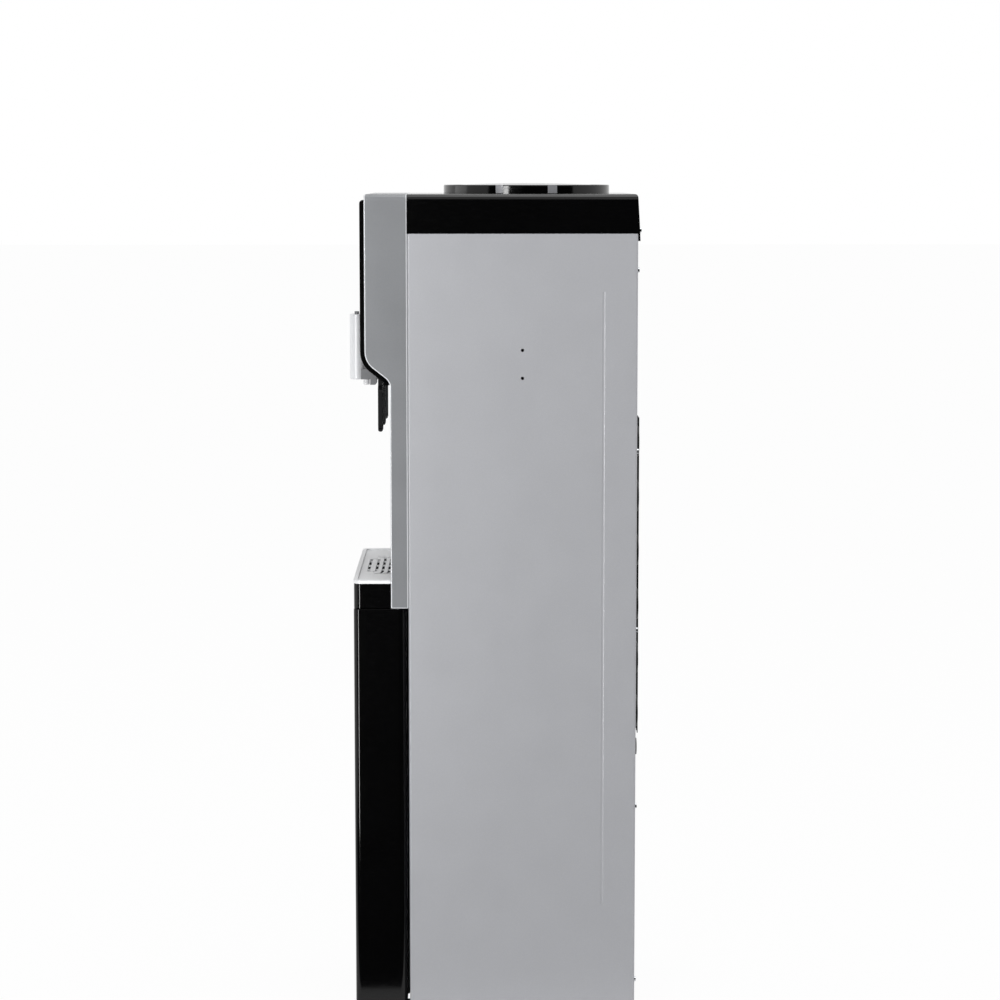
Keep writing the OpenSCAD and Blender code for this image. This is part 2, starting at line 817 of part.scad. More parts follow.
module hinge_bores(fit) {
    for (z = [door_bottom - over, door_top - hinge_reach - over]) translate([hinge_x, hinge_y, z])
        cylinder(r = hinge_r + fit, h = hinge_reach + 2 * over);
}

module door_shell() {
    grip_h = 130;
    grip_r = 18;
    grip_deep = 9;
    grip_inset = 30;
    grip_drop = 60;
    grip_y = door_back - grip_inset;
    grip_top = door_top - grip_drop;
    color("#070708") difference() {
        union() {
            difference() {
                translate([0, 0, door_bottom]) linear_extrude(door_top - door_bottom) door_outline(0);
                translate([0, 0, door_bottom + door_wall])
                    linear_extrude(door_top - door_bottom - 2 * door_wall) door_outline(door_wall);
                wide(hinge_x - boss_r - door_wall, door_back - 2 * door_wall, door_back + over,
                    door_bottom + door_wall, door_top - door_wall);
            }
            for (z = [door_bottom, door_top - hinge_reach - door_wall]) translate([hinge_x, hinge_y, z])
                cylinder(r = boss_r, h = hinge_reach + door_wall);
            block([-side_half + door_wall - over, grip_y - grip_r, grip_top - grip_h - door_wall],
                [-side_half + grip_deep + door_wall, grip_y + grip_r, grip_top + door_wall]);
        }
        hinge_bores(run_fit);
        translate([-side_half - grip_r + grip_deep, grip_y, grip_top - grip_h])
            linear_extrude(grip_h) circle(grip_r);
    }
}

module door_liner() {
    half = hinge_x - boss_r - door_wall - gap;
    wall = 2;
    z0 = door_bottom + door_wall + gap;
    z1 = door_top - door_wall - gap;
    rim = 6;
    shelf = 14;
    room = 5;
    pocket = half - rim;
    pocket_y = door_y + door_wall + room;
    color("#dcdde0") difference() {
        union() {
            wide(half, door_back - wall, door_back, z0, z1);
            wide(pocket, pocket_y, door_back, z0 + shelf, z1 - shelf);
        }
        wide(pocket - wall, pocket_y + wall, door_back + over, z0 + shelf + wall, z1 - shelf - wall);
    }
}

module door_gasket() {
    half = hinge_x - boss_r - door_wall - gap;
    z0 = door_bottom + door_wall + gap;
    z1 = door_top - door_wall - gap;
    seal_t = 2;
    seal_w = 5;
    side_w = 4.5;
    edge = 1;
    color("#3a3b3d") difference() {
        wide(half - edge, door_back, door_back + seal_t, z0 + edge, z1 - edge);
        wide(half - edge - side_w, door_back - over, door_back + seal_t + over,
            z0 + edge + seal_w, z1 - edge - seal_w);
    }
}

// The plate under the door that carries the lower hinge pin
hinge_plate_t = 3;
hinge_plate_gap = 1;
hinge_plate_z = door_bottom - hinge_plate_gap - hinge_plate_t;

module hinge_pins() {
    color("#b0b2b5") {
        translate([hinge_x, hinge_y, door_top - hinge_reach])
            cylinder(r = hinge_r, h = hinge_reach + rail_gap + rail_h - over);
        translate([hinge_x, hinge_y, hinge_plate_z])
            cylinder(r = hinge_r, h = door_bottom - hinge_plate_z + hinge_reach);
    }
}

module hinge_bracket() {
    t = hinge_plate_t;
    r = 8;
    color("#4a4b4e") difference() {
        union() {
            translate([0, 0, hinge_plate_z]) linear_extrude(t) union() {
                translate([hinge_x, hinge_y]) circle(r);
                translate([hinge_x - r, hinge_y]) square([2 * r, -panel_front - hinge_y]);
            }
            block([hinge_x - r, -panel_front - t, foot_h], [hinge_x + r, -panel_front, hinge_plate_z + t]);
        }
        translate([hinge_x, hinge_y, hinge_plate_z - over]) cylinder(r = hinge_r, h = t + 2 * over);
    }
}

module bottle_bay() {
    front = -panel_front + sheet_t + pan_t;
    color("#e3e4e6") difference() {
        wide(bay_half, front, bay_back, bay_z, bay_top);
        wide(bay_half - shell_t, front - over, bay_back - shell_t, bay_z + shell_t, bay_top - shell_t);
        translate([probe_x, probe_y, bay_top - shell_t - over]) cylinder(r = hose_r + gap, h = shell_t + 2 * over);
    }
}

module probe_holder() {
    t = 5;
    play = 1;
    color("#c4c6ca") difference() {
        translate([0, 0, probe_cap_z - t]) linear_extrude(t) union() {
            translate([probe_x - probe_cap_r, probe_y]) square([2 * probe_cap_r, bay_back - shell_t - probe_y]);
            translate([probe_x, probe_y]) circle(probe_cap_r);
        }
        translate([probe_x, probe_y, probe_cap_z - t - over]) cylinder(d = probe_d + play, h = t + 2 * over);
        translate([probe_x, probe_y - probe_cap_r, probe_cap_z])
            cube([probe_d - play, 2 * probe_cap_r, 4 * t], center = true);
    }
}

// Height of the nipple on the probe's cap
probe_nipple_z = 30;

module bottle_probe() {
    cap_r = probe_cap_r;
    wall = 2;
    edge = 3;
    cap_h = 22;
    cone = 6;
    bore_r = hose_r - wall / 2;
    color("#7d8fa6") translate([probe_x, probe_y, probe_cap_z]) {
        rotate_extrude() polygon([[bore_r, 0], [cap_r - wall, 0], [cap_r, edge], [cap_r, cap_h - cone],
            [cap_r - cone, cap_h], [hose_r + edge, cap_h + wall], [hose_r + edge, probe_nipple_z],
            [bore_r, probe_nipple_z]]);
        translate([0, 0, -probe_l]) rotate_extrude() polygon([[probe_d / 2 - 2 * wall, 0], [probe_d / 2 - wall, 0],
            [probe_d / 2, edge], [probe_d / 2, probe_l], [bore_r, probe_l], [bore_r, probe_cap_r]]);
    }
}

module inner_decks() {
    color("#8f9194") {
        difference() {
            wide(fit_half, -panel_front + sheet_t, back_y - sheet_t, deck_z, deck_top);
            for (p = [[probe_x, probe_y], [drain_x, drain_y]]) translate([p[0], p[1], deck_z - over])
                cylinder(r = hose_r + gap, h = deck_t + 2 * over);
        }
        difference() {
            wide(fit_half, collar_y - foam_r - shell_t - deck_rim, back_y - sheet_t, foam_z - deck_t, foam_z);
            translate([tap_pitch, hot_y, foam_z - deck_t - over]) cylinder(r = hose_r + over, h = deck_t + 2 * over);
        }
    }
}

module compressor_grommets() {
    color("#1b1b1d") for (a = [45:90:315]) translate([comp_x, comp_y, deck_top]) rotate([0, 0, a])
        translate([comp_r - grommet_inset, 0, 0]) cylinder(r = grommet_r, h = grommet_h);
}

module compressor() {
    z = deck_top + grommet_h;
    dome = 26;
    wall = 14;
    seam = 3;
    seam_t = 2;
    c = 4;
    shell_r = comp_r - seam;
    mid = comp_h / 2;
    dome_steps = 8;
    color("#17181a") translate([comp_x, comp_y, z]) rotate_extrude() polygon(concat(
        [[0, 0]], [[comp_r, 0], [comp_r, c], [shell_r, c + seam_t], [shell_r, mid - seam], [comp_r, mid - seam_t],
        [comp_r, mid + seam_t], [shell_r, mid + seam]],
        [for (i = [0:dome_steps]) let (a = 90 * i / dome_steps)
            [shell_r * cos(a), comp_h - dome + dome * sin(a)]],
        [[0, comp_h - wall], [shell_r - wall, comp_h - dome], [shell_r - wall, wall], [0, wall]]));
}

module hot_tank_stand() {
    rim = 6;
    wall = 3;
    color("#8f9194") translate([hot_x, hot_y, deck_top]) difference() {
        cylinder(r = hot_r - rim, h = stand_h);
        translate([0, 0, -over]) cylinder(r = hot_r - rim - wall, h = stand_h + 2 * over);
    }
}

module hot_tank() {
    z = deck_top + stand_h;
    r = 12;
    wall = 1.5;
    color("#b8babd") translate([hot_x, hot_y, z]) rotate_extrude() polygon(concat([[0, 0]],
        arc(hot_r - r, r, r, -90, 0, 6), arc(hot_r - r, hot_h - r, r, 0, 90, 6),
        [[0, hot_h], [0, hot_h - wall], [hot_r - r, hot_h - wall], [hot_r - wall, hot_h - r],
        [hot_r - wall, r], [hot_r - r, wall], [0, wall]]));
}

module cold_tank_foam() {
    color("#e9e3d0") translate([0, collar_y, foam_z]) difference() {
        cylinder(r = foam_r, h = foam_top - foam_z);
        translate([0, 0, foam_t]) cylinder(r = cold_r, h = cold_h);
        translate([0, 0, foam_t + cold_h - over]) cylinder(r = neck_r, h = foam_t + 2 * over);
    }
}

module cold_tank() {
    wall = 1.2;
    color("#c6c8cb") translate([0, collar_y, foam_z + foam_t]) difference() {
        cylinder(r = cold_r, h = cold_h);
        translate([0, 0, wall]) cylinder(r = cold_r - wall, h = cold_h - 2 * wall);
        translate([0, 0, cold_h - wall - over]) cylinder(r = neck_r - neck_wall, h = wall + 2 * over);
    }
}

module tank_neck() {
    z0 = foam_z + foam_t + cold_h;
    z1 = cover_top - shell_t;
    color("#dfe2e4") translate([0, collar_y, 0]) difference() {
        union() {
            translate([0, 0, z0]) cylinder(r = neck_r, h = z1 - z0);
            translate([0, 0, z1 - neck_rim_t]) cylinder(r = collar_r - collar_t, h = neck_rim_t);
        }
        translate([0, 0, z0 - over]) cylinder(r = neck_r - neck_wall, h = z1 - z0 + 2 * over);
    }
}

// Place and size of the pump's gear case and motor
pump_half = 24;
pump_y = -56;
pump_d = 46;
pump_h = 40;
motor_r = 19;
motor_l = 52;

module water_pump() {
    motor_gap = 2;
    color("#2a2d33") {
        wide(pump_half, pump_y, pump_y + pump_d, deck_top, deck_top + pump_h);
        translate([0, pump_y + pump_d, deck_top + motor_r + motor_gap]) rotate([-90, 0, 0])
            cylinder(r = motor_r, h = motor_l);
    }
}

// How far the drain hose reaches back over its spigot's end
drain_neck = 6;

module water_hoses() {
    y0 = clevis_back + valve_l;
    foam_y = collar_y - foam_r;
    seat = 0.1;
    valve_hose_y = -60;
    pump_hose_y = pump_y + pump_d / 2;
    pump_hose_z = deck_top + 25;
    low_z = deck_top + 20;
    low_y = pump_y + pump_d + 30;
    color("#dfe5e8") {
        run([[0, y0, pin_z], [0, foam_y - seat, pin_z]], hose_r);
        run([[tap_pitch, y0, pin_z], [tap_pitch, hot_y, pin_z],
            [tap_pitch, hot_y, deck_top + stand_h + hot_h]], hose_r);
        run([[-tap_pitch, y0, pin_z], [-tap_pitch, valve_hose_y, pin_z], [-tap_pitch, valve_hose_y, pump_hose_z],
            [-tap_pitch, pump_hose_y, pump_hose_z], [-pump_half, pump_hose_y, pump_hose_z]], hose_r);
        run([[probe_x, probe_y, probe_cap_z + probe_nipple_z], [probe_x, probe_y, low_z],
            [probe_x, low_y, low_z], [-motor_r, low_y, low_z]], hose_r);
        run([[drain_x, hot_y + hot_r, hot_drain_z], [drain_x, drain_y, hot_drain_z], [drain_x, drain_y, drain_z],
            [drain_x, drain_y + drain_neck, drain_z]], hose_r);
    }
}

// Place and size of the filter drier
drier_x = -12;
drier_y = 152;
drier_z = deck_top + 60;
drier_l = 98;

module filter_drier() {
    drier_r = 9;
    neck = 8;
    cone = 10;
    color("#b87333") translate([drier_x, drier_y, drier_z]) rotate_extrude() polygon([[0, 0], [pipe_r, 0],
        [pipe_r, neck], [drier_r, neck + cone], [drier_r, drier_l - neck - cone], [pipe_r, drier_l - neck],
        [pipe_r, drier_l], [0, drier_l]]);
}

module refrigerant_pipes() {
    top = deck_top + grommet_h + comp_h;
    bend_drop = 30;
    riser_x = -20;
    riser_drop = 12;
    evaporator = [10, 120];
    color("#b87333") {
        run([[comp_x, comp_y, top], [comp_x, comp_y, foam_z - bend_drop], [riser_x, comp_y, foam_z - bend_drop],
            [riser_x, comp_y, foam_z - deck_t]], pipe_r);
        run([[drier_x, drier_y, drier_z + drier_l], [drier_x, drier_y, foam_z - riser_drop],
            [evaporator[0], evaporator[1], foam_z - riser_drop],
            [evaporator[0], evaporator[1], foam_z - deck_t]], pipe_r);
        run([[drier_x, drier_y, drier_z], [drier_x, drier_y, drier_z - bend_drop],
            [drier_x, back_y - sheet_t, drier_z - bend_drop]], pipe_r);
    }
}

module condenser_coil() {
    color("#141517") {
        for (k = [0:cond_runs - 1]) translate([-cond_half, cond_y, cond_z + k * cond_pitch]) rotate([0, 90, 0])
            cylinder(r = cond_r, h = 2 * cond_half, $fn = 16);
        for (k = [0:cond_runs - 2]) {
            s = k % 2 == 0 ? 1 : -1;
            translate([s * cond_half, cond_y, cond_z + (k + 0.5) * cond_pitch]) rotate([90, 0, 0])
                rotate([0, 0, s > 0 ? -90 : 90]) rotate_extrude(angle = 180, $fn = 16)
                    translate([cond_pitch / 2, 0]) circle(cond_r, $fn = 16);
        }
    }
}

module condenser_grid() {
    wire_inset = 8;
    wire_over = 12;
    clip_inset = 30;
    clip_half = 6;
    step = 2 * (cond_half - wire_inset) / (wire_count - 1);
    color("#141517") {
        for (i = [0:wire_count - 1])
            translate([-cond_half + wire_inset + i * step, cond_y + cond_r + wire_d / 2, cond_z - wire_over])
                cylinder(d = wire_d, h = (cond_runs - 1) * cond_pitch + 2 * wire_over, $fn = 16);
        for (s = [-1, 1], k = [1, cond_runs - 2]) {
            x = s * (cond_half - clip_inset);
            z = cond_z + k * cond_pitch;
            block([x - clip_half, back_y, z - clip_half], [x + clip_half, cond_y - cond_r, z + clip_half]);
        }
    }
}

module switch_housings() {
    body_d = 14;
    rim = 1.5;
    well_d = 9;
    end_wall = 2;
    color("#1a1a1c") for (x = switch_xs) translate([x, 0, switch_z]) difference() {
        union() {
            wide(switch_w / 2, back_y - body_d, back_y, -switch_h / 2, switch_h / 2);
            wide(switch_w / 2 + rim, back_y, back_y + rim, -switch_h / 2 - rim, switch_h / 2 + rim);
        }
        wide(rocker_half + gap, back_y - well_d, back_y + rim + over,
            -switch_h / 2 + end_wall, switch_h / 2 - end_wall);
    }
}

module rocker(x, tint) {
    h = switch_h / 2 - 4;
    depth = 2;
    hub_r = 3;
    rise = [4.4, 3.2, 2.4];
    color(tint) translate([x, back_y - depth, switch_z]) rotate([90, 0, 90]) translate([0, 0, -rocker_half])
        linear_extrude(2 * rocker_half) union() {
            circle(hub_r);
            polygon([[-depth, -h + depth / 2], [rise[0], -h], [rise[1], 0], [rise[2], h], [-depth, h - depth / 2]]);
        }
}

module drain_spigot() {
    y0 = drain_y + drain_neck;
    proud = 2;
    color("#d9dadc") translate([drain_x, y0, drain_z]) rotate([-90, 0, 0])
        cylinder(d = drain_d, h = panel_rear + proud - y0);
}

module drain_cap() {
    cap_h = 4.4;
    cap_wall = 2.5;
    seat = 0.2;
    thread = 1.8;
    color("#2a2a2c") translate([drain_x, panel_rear + seat, drain_z]) rotate([-90, 0, 0]) difference() {
        cylinder(d = drain_d + 2 * cap_wall, h = cap_h);
        translate([0, 0, -over]) cylinder(d = drain_d, h = over + thread);
    }
}

module cord_gland() {
    nut_h = 5;
    flange_h = 2;
    cord_r = 3.6;
    length = nut_h + sheet_t + flange_h;
    color("#1b1b1d") translate([gland_x, back_y - sheet_t - nut_h, gland_z]) rotate([-90, 0, 0]) difference() {
        union() {
            cylinder(r = gland_r - gland_wall, h = length - over);
            translate([0, 0, nut_h + sheet_t]) cylinder(r = gland_r, h = flange_h);
            cylinder(r = gland_r, h = nut_h);
        }
        translate([0, 0, -over]) cylinder(r = cord_r, h = length + 2 * over);
    }
}

module screw_head(r, h) {
    cross_l_share = 1.3;
    cross_w_share = 0.24;
    difference() {
        cylinder(r = r, h = h);
        for (a = [0, 90]) rotate([0, 0, a]) translate([0, 0, h])
            cube([cross_l_share * r, cross_w_share * r, h], center = true);
    }
}

module rear_screws() {
    y = panel_rear;
    side_r = 3.2;
    side_h = 1.8;
    top_r = 3;
    top_h = 2;
    first = 12;
    last = 44;
    rise = 4.4;
    edge = 12;
    z0 = pan_top + first;
    z1 = panel_top - last;
    color("#c0c2c5") {
        for (s = [-1, 1], i = [0:4]) translate([s * (body_half - flange_w / 2), y, z0 + (z1 - z0) * i / 4])
            rotate([-90, 0, 0]) screw_head(side_r, side_h);
        for (s = [-1, 0, 1]) translate([s * (body_half - edge), y + cover_lean, panel_top + rise]) rotate([-90, 0, 0])
            screw_head(top_r, top_h);
    }
}

side_panel(-1);  // side_panel_left
side_panel(1);  // side_panel_right
back_panel();
base_pan();
levelling_feet();
top_cover();
top_collar();
collar_inserts();
top_lid();
front_frame();
front_panel();
indicator_lenses();
control_box();
circuit_board();
niche_liner();
tray_housing();
drip_basin();
drip_tray_cover();
tap_barrel(tap_xs[0]);  // tap_barrel_left
tap_barrel(tap_xs[1]);  // tap_barrel_middle
tap_barrel(tap_xs[2], tap_h);  // tap_barrel_right
lock_button();
tap_bracket(tap_xs[0]);  // tap_bracket_left
tap_bracket(tap_xs[1]);  // tap_bracket_middle
tap_bracket(tap_xs[2]);  // tap_bracket_right
tap_nozzle(tap_xs[0]);  // tap_nozzle_left
tap_nozzle(tap_xs[1]);  // tap_nozzle_middle
tap_nozzle(tap_xs[2]);  // tap_nozzle_right
tap_lever(tap_xs[0]);  // lever_left
tap_lever(tap_xs[1]);  // lever_middle
tap_lever(tap_xs[2]);  // lever_right
lever_pins();
tap_valves();
door_shell();
door_liner();
door_gasket();
hinge_pins();
hinge_bracket();
bottle_bay();
probe_holder();
bottle_probe();
inner_decks();
compressor_grommets();
compressor();
hot_tank_stand();
hot_tank();
cold_tank_foam();
cold_tank();
tank_neck();
water_pump();
water_hoses();
filter_drier();
refrigerant_pipes();
condenser_coil();
condenser_grid();
switch_housings();
rocker(switch_xs[0], "#8c1f1f");  // rocker_left
rocker(switch_xs[1], "#1f5f3a");  // rocker_right
union() { drain_spigot(); drain_cap(); cord_gland(); }  // drain_fittings
rear_screws();
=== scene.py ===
# %% [markdown]
# # A bottom load water cooler, dressed for its portrait
#
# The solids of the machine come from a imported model, one mesh for each part. This lesson keeps
# them where they are, softens the edges that a moulding tool or a press brake would soften, gives
# every part the finish of its real material, and adds the small repeated things with Geometry
# Nodes. +Z is up, the taps and the door face -Y, and all lengths are in metres.

# %% Load the model
import json
import math

import bmesh
import bpy
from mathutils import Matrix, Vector


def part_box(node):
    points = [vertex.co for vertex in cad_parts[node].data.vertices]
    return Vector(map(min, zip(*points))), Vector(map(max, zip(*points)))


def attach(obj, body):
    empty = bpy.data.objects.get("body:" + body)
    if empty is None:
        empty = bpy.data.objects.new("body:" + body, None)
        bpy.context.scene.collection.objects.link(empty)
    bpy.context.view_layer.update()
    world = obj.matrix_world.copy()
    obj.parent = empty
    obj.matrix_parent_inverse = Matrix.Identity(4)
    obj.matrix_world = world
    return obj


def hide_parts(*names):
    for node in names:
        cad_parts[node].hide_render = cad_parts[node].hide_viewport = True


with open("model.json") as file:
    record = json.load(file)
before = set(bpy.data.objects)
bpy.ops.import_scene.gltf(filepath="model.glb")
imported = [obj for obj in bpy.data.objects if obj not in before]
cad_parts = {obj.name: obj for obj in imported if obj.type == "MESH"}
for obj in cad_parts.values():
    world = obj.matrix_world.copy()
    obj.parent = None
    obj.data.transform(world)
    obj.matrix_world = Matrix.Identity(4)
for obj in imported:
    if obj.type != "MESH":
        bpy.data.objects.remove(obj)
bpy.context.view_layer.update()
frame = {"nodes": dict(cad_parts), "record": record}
nodes = frame["nodes"]
record = frame["record"]
body_of_node = {name: body for body, names in record["behaviour"]["bodies"].items()
                for name in names}
slot_of_node = {part["node"]: part["material_slot"] for part in record["subparts"]}
mm = 0.001
per_metre = 1000.0  # a pattern's scale is this over its size in millimetres
quarter_turn = math.pi / 2

# %% [markdown]
# ## The camera
#
# The photograph was taken from straight beside the machine, a little above it and about three and
# a half metres away. A long lens keeps the upright edges nearly parallel, and the picture ends
# above the feet.

# %% Place the camera
camera_place = Vector((3.4976, -0.018, 1.0629))
camera_turn = 0.0073
camera_dip = 0.1175
camera_roll = 0.0004
lens_length = 98.57
sensor_width = 36.0
view_depth = 200.0

camera_data = bpy.data.cameras.new("portrait_camera")
camera_data.lens = lens_length
camera_data.sensor_width = sensor_width
camera_data.clip_end = view_depth
camera = bpy.data.objects.new("portrait_camera", camera_data)
bpy.context.collection.objects.link(camera)
camera.location = camera_place
camera.rotation_euler = (quarter_turn - camera_dip, camera_roll, quarter_turn - camera_turn)
bpy.context.scene.camera = camera
print("camera at", tuple(camera.location))

# %% [markdown]
# ## Small helpers for materials
#
# A colour on paper is an sRGB hex value, while Blender's shaders count in linear light, so one
# function turns the first into the second. One more function adds a node with its settings and its
# links, and two short ones start a material and plug its patterns into the shader.

# %% Helpers for colours and nodes
tone_dark, tone_light, tone_out = 6, 7, 2  # the colour sockets of a Mix node set to RGBA
noise_low, noise_high = 0.3, 0.7  # nearly all values of a noise lie between these
srgb_knee, srgb_slope, srgb_lift, srgb_power = 0.04045, 12.92, 0.055, 2.4  # the sRGB curve


def linear(hex_colour):
    parts = [int(hex_colour[i:i + 2], 16) / 255 for i in (1, 3, 5)]
    light = [part / srgb_slope if part <= srgb_knee
             else ((part + srgb_lift) / (1 + srgb_lift)) ** srgb_power for part in parts]
    return (*light, 1.0)


def add(tree, kind, settings=None, links=None):
    """Adds a node. A setting is a property or a socket, and a link ends in a socket of the node."""
    node = tree.nodes.new(kind)
    for name, value in (settings or {}).items():
        if isinstance(name, str) and name in node.bl_rna.properties:
            setattr(node, name, value)
        else:
            node.inputs[name].default_value = value
    for name, source in (links or {}).items():
        tree.links.new(source, node.inputs[name])
    return node


def new_finish(name, metallic=0.0, roughness=0.5, **sockets):
    material = bpy.data.materials.new(name)
    material.use_nodes = True
    tree = material.node_tree
    shader = tree.nodes["Principled BSDF"]
    shader.inputs["Metallic"].default_value = metallic
    shader.inputs["Roughness"].default_value = roughness
    for socket, value in sockets.items():
        shader.inputs[socket.replace("_", " ")].default_value = value
    here = add(tree, "ShaderNodeTexCoord").outputs["Object"]
    return material, tree, shader, here


def plug_in(tree, shader, **sources):
    for socket, source in sources.items():
        tree.links.new(source, shader.inputs[socket.replace("_", " ")])


finishes = {}
print("black paper in linear light:", round(linear("#0a0a0a")[0], 4))

# %% [markdown]
# ## Pre-painted steel sheet
#
# The side panels are folded from steel that was painted light grey on the coil, with a pinch of
# metallic flake. Rollers leave a very faint orange peel about a millimetre wide, and the flake
# shows as a fine sparkle. The cheeks of the front frame are moulded ABS sprayed with a darker
# silver, so the same recipe makes both with other colours.

# %% Metallic paints
flake_size = 0.7  # mm; real flakes are finer, and these are as coarse as the picture needs
peel_depth = 0.02 * mm
paint_clouds = 25.0  # to a metre
paint_swing = 0.04  # by which the roughness comes and goes
clear_coat = {"Coat_Weight": 0.3, "Coat_Roughness": 0.2, "Specular_IOR_Level": 0.25}


def metallic_paint(name, dark, light, peel_size, roughness, metallic):
    material, tree, shader, here = new_finish(name, metallic=metallic, roughness=roughness,
                                              **clear_coat)
    flakes = add(tree, "ShaderNodeTexVoronoi", {"Scale": per_metre / flake_size}, {"Vector": here})
    tones = add(tree, "ShaderNodeMix",
                {"data_type": "RGBA", tone_dark: linear(dark), tone_light: linear(light)},
                {0: flakes.outputs["Distance"]})
    clouds = add(tree, "ShaderNodeTexNoise", {"Scale": paint_clouds, "Detail": 2.0},
                 {"Vector": here})
    shine = add(tree, "ShaderNodeMapRange",
                {"From Min": noise_low, "From Max": noise_high, "To Min": roughness - paint_swing,
                 "To Max": roughness + paint_swing}, {"Value": clouds.outputs["Fac"]})
    peel = add(tree, "ShaderNodeTexNoise", {"Scale": per_metre / peel_size, "Detail": 1.0},
               {"Vector": here})
    bump = add(tree, "ShaderNodeBump", {"Distance": peel_depth, "Strength": 0.2},
               {"Height": peel.outputs["Fac"]})
    plug_in(tree, shader, Base_Color=tones.outputs[tone_out], Roughness=shine.outputs["Result"],
            Normal=bump.outputs["Normal"])
    return material


finishes["body_grey"] = metallic_paint("painted_steel_light_grey", "#a8a9ad", "#b2b3b7",
                                       peel_size=1.2, roughness=0.42, metallic=0.1)
finishes["frame_silver"] = metallic_paint("sprayed_abs_silver", "#7b7d81", "#858789", peel_size=1.0,
                                          roughness=0.36, metallic=0.1)
# A near-white copy of the frame's silver for its rounded edges: a painted highlight, not a colour
# of the paint.
finishes["frame_edge"] = metallic_paint("sprayed_abs_bright_edge", "#d9dbde", "#e3e5e8",
                                        peel_size=1.0, roughness=0.3, metallic=0.1)
finishes["insert_grey"] = metallic_paint("sprayed_abs_mid_grey", "#8f9094", "#999a9e",
                                         peel_size=1.0, roughness=0.36, metallic=0.1)
print("paints:", len(finishes))

# %% [markdown]
# ## Black high-gloss ABS
#
# The cover, the collar, the lid, the front panel, the tray's housing and the door are injection
# moulded in black ABS in a polished tool. The plastic is almost perfectly black and very smooth.
# What tells the eye that it is plastic and not lacquer is a slow waviness of the reflections and a
# few hair-fine wiping marks.

# %% Glossy plastics
wiping_size = 1.6  # mm between wiping marks
sink_size = 22.0  # mm between the shallow sink marks that make reflections wavy
sink_depth = 0.08 * mm
plastic_clouds = 16.0  # to a metre
wiping_flat = (0.12, 0.12, 1.0)  # the marks lie level and are long
wiping_low, wiping_high = 0.45, 0.75  # the part of the noise that counts as a mark
wiping_wear = 0.05  # roughness that a mark adds
plastic_index = 1.5


def gloss_plastic(name, dark, light, roughness, shine=0.5):
    material, tree, shader, here = new_finish(name, metallic=0.0, roughness=roughness,
                                              IOR=plastic_index, Specular_IOR_Level=shine)
    clouds = add(tree, "ShaderNodeTexNoise", {"Scale": plastic_clouds}, {"Vector": here})
    tones = add(tree, "ShaderNodeMix",
                {"data_type": "RGBA", tone_dark: linear(dark), tone_light: linear(light)},
                {0: clouds.outputs["Fac"]})
    flat = add(tree, "ShaderNodeMapping", {"Scale": wiping_flat}, {"Vector": here})
    marks = add(tree, "ShaderNodeTexNoise", {"Scale": per_metre / wiping_size, "Detail": 3.0},
                {"Vector": flat.outputs["Vector"]})
    worn = add(tree, "ShaderNodeMapRange",
               {"From Min": wiping_low, "From Max": wiping_high, "To Min": roughness,
                "To Max": roughness + wiping_wear}, {"Value": marks.outputs["Fac"]})
    waves = add(tree, "ShaderNodeTexNoise", {"Scale": per_metre / sink_size, "Detail": 1.0},
                {"Vector": here})
    bump = add(tree, "ShaderNodeBump", {"Distance": sink_depth, "Strength": 0.12},
               {"Height": waves.outputs["Fac"]})
    plug_in(tree, shader, Base_Color=tones.outputs[tone_out], Roughness=worn.outputs["Result"],
            Normal=bump.outputs["Normal"])
    return material


finishes["gloss_black"] = gloss_plastic("polished_black_abs", "#030303", "#070708", roughness=0.1,
                                        shine=0.3)
finishes["lever_black"] = gloss_plastic("polished_charcoal_abs", "#151516", "#1d1d1f",
                                        roughness=0.18, shine=0.4)
finishes["nozzle_white"] = gloss_plastic("polished_white_polypropylene", "#ececee", "#f5f5f6",
                                         roughness=0.25)
finishes["liner_white"] = gloss_plastic("vacuum_formed_white_polystyrene", "#d6d7da", "#dfe0e2",
                                        roughness=0.3)
finishes["rocker_red"] = gloss_plastic("red_nylon", "#7d1512", "#8c1c18", roughness=0.25)
finishes["rocker_green"] = gloss_plastic("green_nylon", "#12502c", "#1a5c34", roughness=0.25)
print("finishes so far:", len(finishes))

# %% [markdown]
# ## Spark-eroded plastic
#
# Parts that should not shine come from a tool whose steel was roughened by sparks. The surface is
# a field of tiny rounded pits, about half a millimetre apart here so that the picture can show
# them, which scatters the highlights.

# %% Textured plastics
pit_depth = 0.05 * mm
pit_clouds = 80.0  # to a metre
pit_swing = 0.06
pit_shine = 0.3


def textured_plastic(name, dark, light, roughness, pit_size=0.5):
    material, tree, shader, here = new_finish(name, metallic=0.0, roughness=roughness,
                                              Specular_IOR_Level=pit_shine)
    clouds = add(tree, "ShaderNodeTexNoise", {"Scale": pit_clouds, "Detail": 2.0}, {"Vector": here})
    tones = add(tree, "ShaderNodeMix",
                {"data_type": "RGBA", tone_dark: linear(dark), tone_light: linear(light)},
                {0: clouds.outputs["Fac"]})
    dull = add(tree, "ShaderNodeMapRange",
               {"From Min": noise_low, "From Max": noise_high, "To Min": roughness - pit_swing,
                "To Max": roughness + pit_swing}, {"Value": clouds.outputs["Fac"]})
    pits = add(tree, "ShaderNodeTexVoronoi",
               {"Scale": per_metre / pit_size, "feature": "SMOOTH_F1"}, {"Vector": here})
    bump = add(tree, "ShaderNodeBump", {"Distance": pit_depth, "Strength": 0.5},
               {"Height": pits.outputs["Distance"]})
    plug_in(tree, shader, Base_Color=tones.outputs[tone_out], Roughness=dull.outputs["Result"],
            Normal=bump.outputs["Normal"])
    return material


